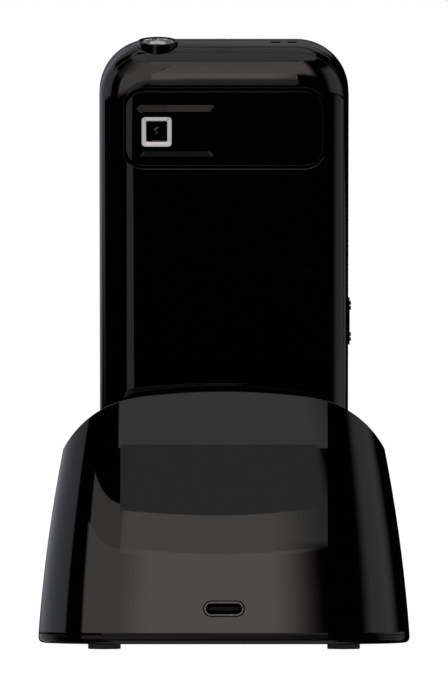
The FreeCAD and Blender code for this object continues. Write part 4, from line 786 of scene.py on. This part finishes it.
def ribbon_path():
    """The ribbon from end to end, in the plane across the middle of the phone."""
    middle = RIBBON_BACK + RIBBON_ROLL_SHARE * (RIBBON_FRONT - RIBBON_BACK)
    path = [(RIBBON_REAR_END, RIBBON_LOW), (RIBBON_BACK + 0.15, RIBBON_LOW),
            (RIBBON_BACK + 0.03, RIBBON_LOW + 0.05)]
    path += line_points((RIBBON_BACK, RIBBON_LOW + RIBBON_BEND),
                        (middle + RIBBON_ROLL, RIBBON_FOLD))
    for step in range(1, RIBBON_STEPS):
        angle = math.pi * step / RIBBON_STEPS
        path.append((middle + RIBBON_ROLL * math.cos(angle),
                     RIBBON_FOLD + RIBBON_ROLL * math.sin(angle)))
    path += line_points((middle - RIBBON_ROLL, RIBBON_FOLD),
                        (RIBBON_FRONT, RIBBON_HIGH + RIBBON_BEND))
    path += [(RIBBON_FRONT - 0.04, RIBBON_HIGH + 0.05), (RIBBON_FRONT - 0.12, RIBBON_HIGH),
             (RIBBON_FRONT_END, RIBBON_HIGH)]
    return path


def make_ribbon():
    """The flat cable between the halves, rolled over at the fold."""
    path = ribbon_path()
    side = Vector((RIBBON_WIDE / 2.0, 0.0, 0.0))
    bm = bmesh.new()
    rings = []
    for index, (back, up) in enumerate(path):
        before = Vector(path[max(index - 1, 0)])
        after = Vector(path[min(index + 1, len(path) - 1)])
        way = (after - before).normalized()
        across = Vector((0.0, -way.y, way.x)) * (RIBBON_THICK / 2.0)
        spot = Vector((0.0, back, up))
        rings.append([bm.verts.new(spot + out + over) for out, over in (
            (side, across), (-side, across), (-side, -across), (side, -across))])
    skin(bm, rings)
    bm.faces.new(rings[0])
    bm.faces.new(rings[-1])
    piece = keep(bm, "flex_ribbon", FINISH["flex_amber"], None, PHONE)
    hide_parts("flex_cable")
    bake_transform(piece)


SCREW_SPOTS = ((-32.5, 17.0), (32.5, 17.0), (-30.0, -18.0), (30.0, -18.0))
# The screw heads' cross recesses are painted shade: thin flat dark crosses lie on the heads, sized
# here in millimetres.
CROSS_LONG = 2.2
CROSS_NARROW = 0.5
CROSS_THICK = 0.03
CROSS_LEVEL = 1.36


def make_screw_recess_shade():
    """Painted shade of the cross recesses in the heads of the base screws, as thin dark crosses on
    the heads.
    """
    bm = bmesh.new()
    for across, back in SCREW_SPOTS:
        for wide, deep in ((CROSS_LONG, CROSS_NARROW), (CROSS_NARROW, CROSS_LONG)):
            add_block(bm, Vector((across, back, CROSS_LEVEL)), (wide, deep, CROSS_THICK))
    keep(bm, "cross_recess_shade", PORT_BLACK_AND_RECESS_SHADE, "cradle", WORLD, smooth=False)


make_torch()
make_camera()
camera_bezel = make_camera_frame()
make_screw_recess_shade()
make_ribbon()
make_legends()
make_face_signs()
make_usb_pads()
dress_solids()


# --------------------------------------------------------------- light and camera

# Light panels lie on spheres round the part, in metres, and LAYER is the step between
# them. From LINKED outwards they light one piece each. Those for the phone's top edge
# lie on small spheres round a point of that edge.
CENTRE = Vector((0.0, 0.02, 0.07))
RIG = 1.2
LAYER = 0.01
LINKED = RIG + 0.1
PANEL_STEP = 3.0
CREST = Vector((0.0, 0.0316, 0.134))
CREST_RIG = 0.06
CREST_LAYER = 0.0002
WHITE = (1.0, 1.0, 1.0)
WARM = (1.0, 0.86, 0.85)
CREAM = (1.0, 0.96, 0.9)
COOL = (0.95, 0.97, 1.07)


def glow_material(name, colour, strength, fades):
    """Light from a panel that turns clear towards its edges."""
    left, right, low, high = fades
    material = bpy.data.materials.new(name)
    material.use_nodes = True
    tree = material.node_tree
    tree.nodes.clear()
    glow = add_node(tree, "ShaderNodeEmission")
    glow.inputs["Color"].default_value = (*colour, 1.0)
    glow.inputs["Strength"].default_value = strength
    clear_edge = add_node(tree, "ShaderNodeBsdfTransparent")
    leave = add_node(tree, "ShaderNodeOutputMaterial")
    fade = place_group(tree, PANEL_FADE, Left=left, Right=right, Low=low, High=high)
    mixed = mix_shaders(tree, fade.outputs["Fade"], clear_edge.outputs["BSDF"],
                        glow.outputs["Emission"])
    tree.links.new(mixed, leave.inputs["Surface"])
    return material


def light_panel(name, turns, ups, colour, strength, fades, distance=RIG, centre=CENTRE,
                rise=(0.0, 0.0)):
    """A curved light panel round the part.

    Turns are degrees round from the rear, and ups are degrees above the level.
    The fades are shares of its width and height: first turn, last turn, low and high.
    The rise lifts the top and bottom edges at the first and last turn, in degrees.
    """
    first, last = turns
    low, high = ups
    across = max(8, int((last - first) / PANEL_STEP))
    up = max(2, int((high - low) / PANEL_STEP))
    bm = bmesh.new()
    grid = []
    for row in range(up + 1):
        line = []
        for column in range(across + 1):
            share = column / across
            end = rise[0] if share < 0.5 else rise[1]
            lift = math.radians(low + (high - low) * row / up + end * (2.0 * share - 1.0) ** 2)
            swing = math.radians(first + (last - first) * share)
            way = Vector((math.sin(swing) * math.cos(lift), math.cos(swing) * math.cos(lift),
                          math.sin(lift)))
            line.append(bm.verts.new(centre + way * distance))
        grid.append(line)
    layer = bm.loops.layers.uv.new("UVMap")
    for row in range(up):
        for column in range(across):
            spots = [(column, row), (column + 1, row), (column + 1, row + 1), (column, row + 1)]
            face = bm.faces.new([grid[along][aside] for aside, along in spots])
            for loop, (aside, along) in zip(face.loops, spots):
                loop[layer].uv = (aside / across, along / up)
    mesh = finished_mesh(bm, name)
    mesh.materials.append(glow_material(name, colour, strength, fades))
    panel = add_object(name, mesh)
    panel.visible_camera = False
    panel.visible_shadow = False
    return panel


def shine_only_on(panel, piece):
    """Keep the light of a panel to one piece."""
    receivers = bpy.data.collections.new(panel.name + "_receivers")
    receivers.objects.link(piece)
    panel.light_linking.receiver_collection = receivers


def make_room_lights():
    """Softboxes behind, beside, over and under the part, as its gloss mirrors them."""
    near = RIG - LAYER
    far = RIG + LAYER
    light_panel("rear_key", (-1.62, 1.72), (-10.0, 19.8), WARM, 1.9,
                (0.275, 0.165, 0.6, 0.003), near - LAYER, rise=(1.4, 1.4))
    light_panel("rear_cream", (-1.75, 1.85), (19.2, 26.6), CREAM, 1.32,
                (0.3, 0.05, 0.01, 0.015), near, rise=(1.6, 0.95))
    light_panel("rear_dim", (-1.93, 2.4), (20.5, 38.6), WHITE, 0.48,
                (0.04, 0.1, 0.116, 0.0074))
    light_panel("rear_high", (-3.0, 9.0), (37.8, 62.0), WHITE, 0.85,
                (0.12, 0.4, 0.01, 0.2), far)
    light_panel("left_key", (0.6, 59.5), (-12.0, 20.9), (1.0, 0.94, 0.91), 1.06,
                (0.005, 0.1, 0.4, 0.01))
    light_panel("left_upper", (1.2, 56.0), (20.2, 28.8), (1.0, 0.97, 0.9), 0.78,
                (0.005, 0.08, 0.01, 0.05), far)
    light_panel("low_strip", (7.5, 30.5), (-34.0, -18.5), WHITE, 0.48,
                (0.06, 0.18, 0.1, 0.1))
    light_panel("low_middle", (-3.0, 29.0), (-18.4, -3.0), WHITE, 0.37,
                (0.05, 0.1, 0.35, 0.3))
    light_panel("left_back", (82.0, 178.0), (-5.5, 37.0), COOL, 0.52,
                (0.05, 0.3, 0.12, 0.1))
    light_panel("right_side", (-122.0, -48.5), (-2.0, 45.0), WHITE, 0.55,
                (0.36, 0.3, 0.05, 0.2))
    light_panel("right_low", (-142.0, -67.0), (-28.0, -2.05), WHITE, 0.4,
                (0.22, 0.32, 0.1, 0.02))
    light_panel("ceiling", (-180.0, 180.0), (58.0, 89.0), WHITE, 0.72,
                (0.001, 0.001, 0.15, 0.001))
    light_panel("front_ceiling", (125.0, 220.0), (30.0, 57.9), WHITE, 0.32,
                (0.1, 0.1, 0.2, 0.01))
    light_panel("front_low", (165.0, 195.0), (15.0, 30.0), WHITE, 0.2,
                (0.1, 0.1, 0.2, 0.01))
    light_panel("under", (-24.0, 24.0), (-75.0, -28.0), WHITE, 0.95,
                (0.3, 0.3, 0.001, 0.36))
    light_panel("nadir", (-180.0, 180.0), (-89.9, -68.0), WHITE, 0.9,
                (0.001, 0.001, 0.001, 0.3), far)


def make_crest_lights():
    """Small panels close to the phone's rolled top edge."""
    light_panel("crest_warm", (-54.0, 15.4), (5.0, 40.0), WARM, 1.5,
                (0.25, 0.01, 0.35, 0.02), CREST_RIG, CREST)
    light_panel("crest_left", (15.2, 95.0), (5.0, 44.0), CREAM, 1.1,
                (0.01, 0.85, 0.3, 0.02), CREST_RIG + 2.0 * CREST_LAYER, CREST)
    light_panel("crest_cream", (-54.0, 95.0), (39.8, 53.0), CREAM, 1.3,
                (0.11, 0.6, 0.02, 0.1), CREST_RIG + 3.0 * CREST_LAYER, CREST)


def make_linked_lights():
    """Panels that light one piece each: the camera's frame, the base and the island."""
    trim = light_panel("trim_light", (-120.0, 120.0), (-70.0, 60.0), WHITE, 0.85,
                       (0.1, 0.1, 0.1, 0.1), LINKED)
    shine_only_on(trim, camera_bezel)
    base_side = light_panel("base_side", (50.0, 160.0), (-30.0, 10.0), WHITE, 0.42,
                            (0.25, 0.01, 0.01, 0.01), LINKED + LAYER)
    base_low = light_panel("base_low", (22.0, 160.0), (-84.0, -28.0), WHITE, 0.12,
                           (0.02, 0.01, 0.01, 0.01), LINKED + 2.0 * LAYER)
    for panel in (base_side, base_low):
        shine_only_on(panel, frame["nodes"]["cradle_base"])
    island_low = light_panel("island_low", (-70.0, 70.0), (-89.0, -40.0), WHITE, 1.2,
                             (0.01, 0.01, 0.01, 0.01), LINKED + 3.0 * LAYER)
    shine_only_on(island_low, frame["nodes"]["camera_island"])


FLOOR_HALF = 1.5
FLOOR_DROP = 0.0001


def make_floor():
    """A white floor that is clear from below and shows in no mirror or glass."""
    bm = bmesh.new()
    bmesh.ops.create_grid(bm, x_segments=1, y_segments=1, size=FLOOR_HALF)
    mesh = finished_mesh(bm, "floor")
    material, tree, shader = new_material("floor_white")
    shader.inputs["Base Color"].default_value = (0.4, 0.4, 0.4, 1.0)
    shader.inputs["Roughness"].default_value = 1.0
    shader.inputs["Specular IOR Level"].default_value = 0.0
    shader.inputs["Emission Color"].default_value = (1.0, 1.0, 1.0, 1.0)
    shader.inputs["Emission Strength"].default_value = 1.0
    below = add_node(tree, "ShaderNodeBsdfTransparent")
    facing = add_node(tree, "ShaderNodeNewGeometry")
    mixed = mix_shaders(tree, facing.outputs["Backfacing"], shader.outputs["BSDF"],
                        below.outputs["BSDF"])
    tree.links.new(mixed, tree.nodes["Material Output"].inputs["Surface"])
    mesh.materials.append(material)
    floor = add_object("floor", mesh)
    floor.location.z = -FLOOR_DROP
    floor.visible_glossy = False
    floor.visible_transmission = False


def make_world():
    """White behind the part, and a dim room everywhere else."""
    world = bpy.data.worlds.new("studio")
    bpy.context.scene.world = world
    world.use_nodes = True
    tree = world.node_tree
    tree.nodes.clear()
    path = add_node(tree, "ShaderNodeLightPath")
    shades = {}
    for name, level in (("white", 1.0), ("room", 0.002)):
        shade = add_node(tree, "ShaderNodeBackground")
        shade.inputs["Color"].default_value = (level, level, level, 1.0)
        shades[name] = shade.outputs["Background"]
    leave = add_node(tree, "ShaderNodeOutputWorld")
    mixed = mix_shaders(tree, path.outputs["Is Camera Ray"], shades["room"], shades["white"])
    tree.links.new(mixed, leave.inputs["Surface"])


VIEW_AWAY = 3.015
VIEW_HIGH = 0.0701
SENSOR_WIDE = 36.0
LENS_LONG = 684.8


def make_camera_view():
    """Level view of the rear from three metres."""
    camera = bpy.data.cameras.new("camera")
    camera.sensor_width = SENSOR_WIDE
    camera.lens = LENS_LONG
    camera.clip_start = 0.1
    camera.clip_end = 20.0
    holder = add_object("camera", camera)
    holder.location = (0.0, VIEW_AWAY, VIEW_HIGH)
    holder.rotation_euler = (math.radians(90.0), 0.0, math.radians(180.0))
    bpy.context.scene.camera = holder


make_room_lights()
make_crest_lights()
make_linked_lights()
make_floor()
make_world()
make_camera_view()
bpy.context.scene.view_settings.view_transform = "Standard"
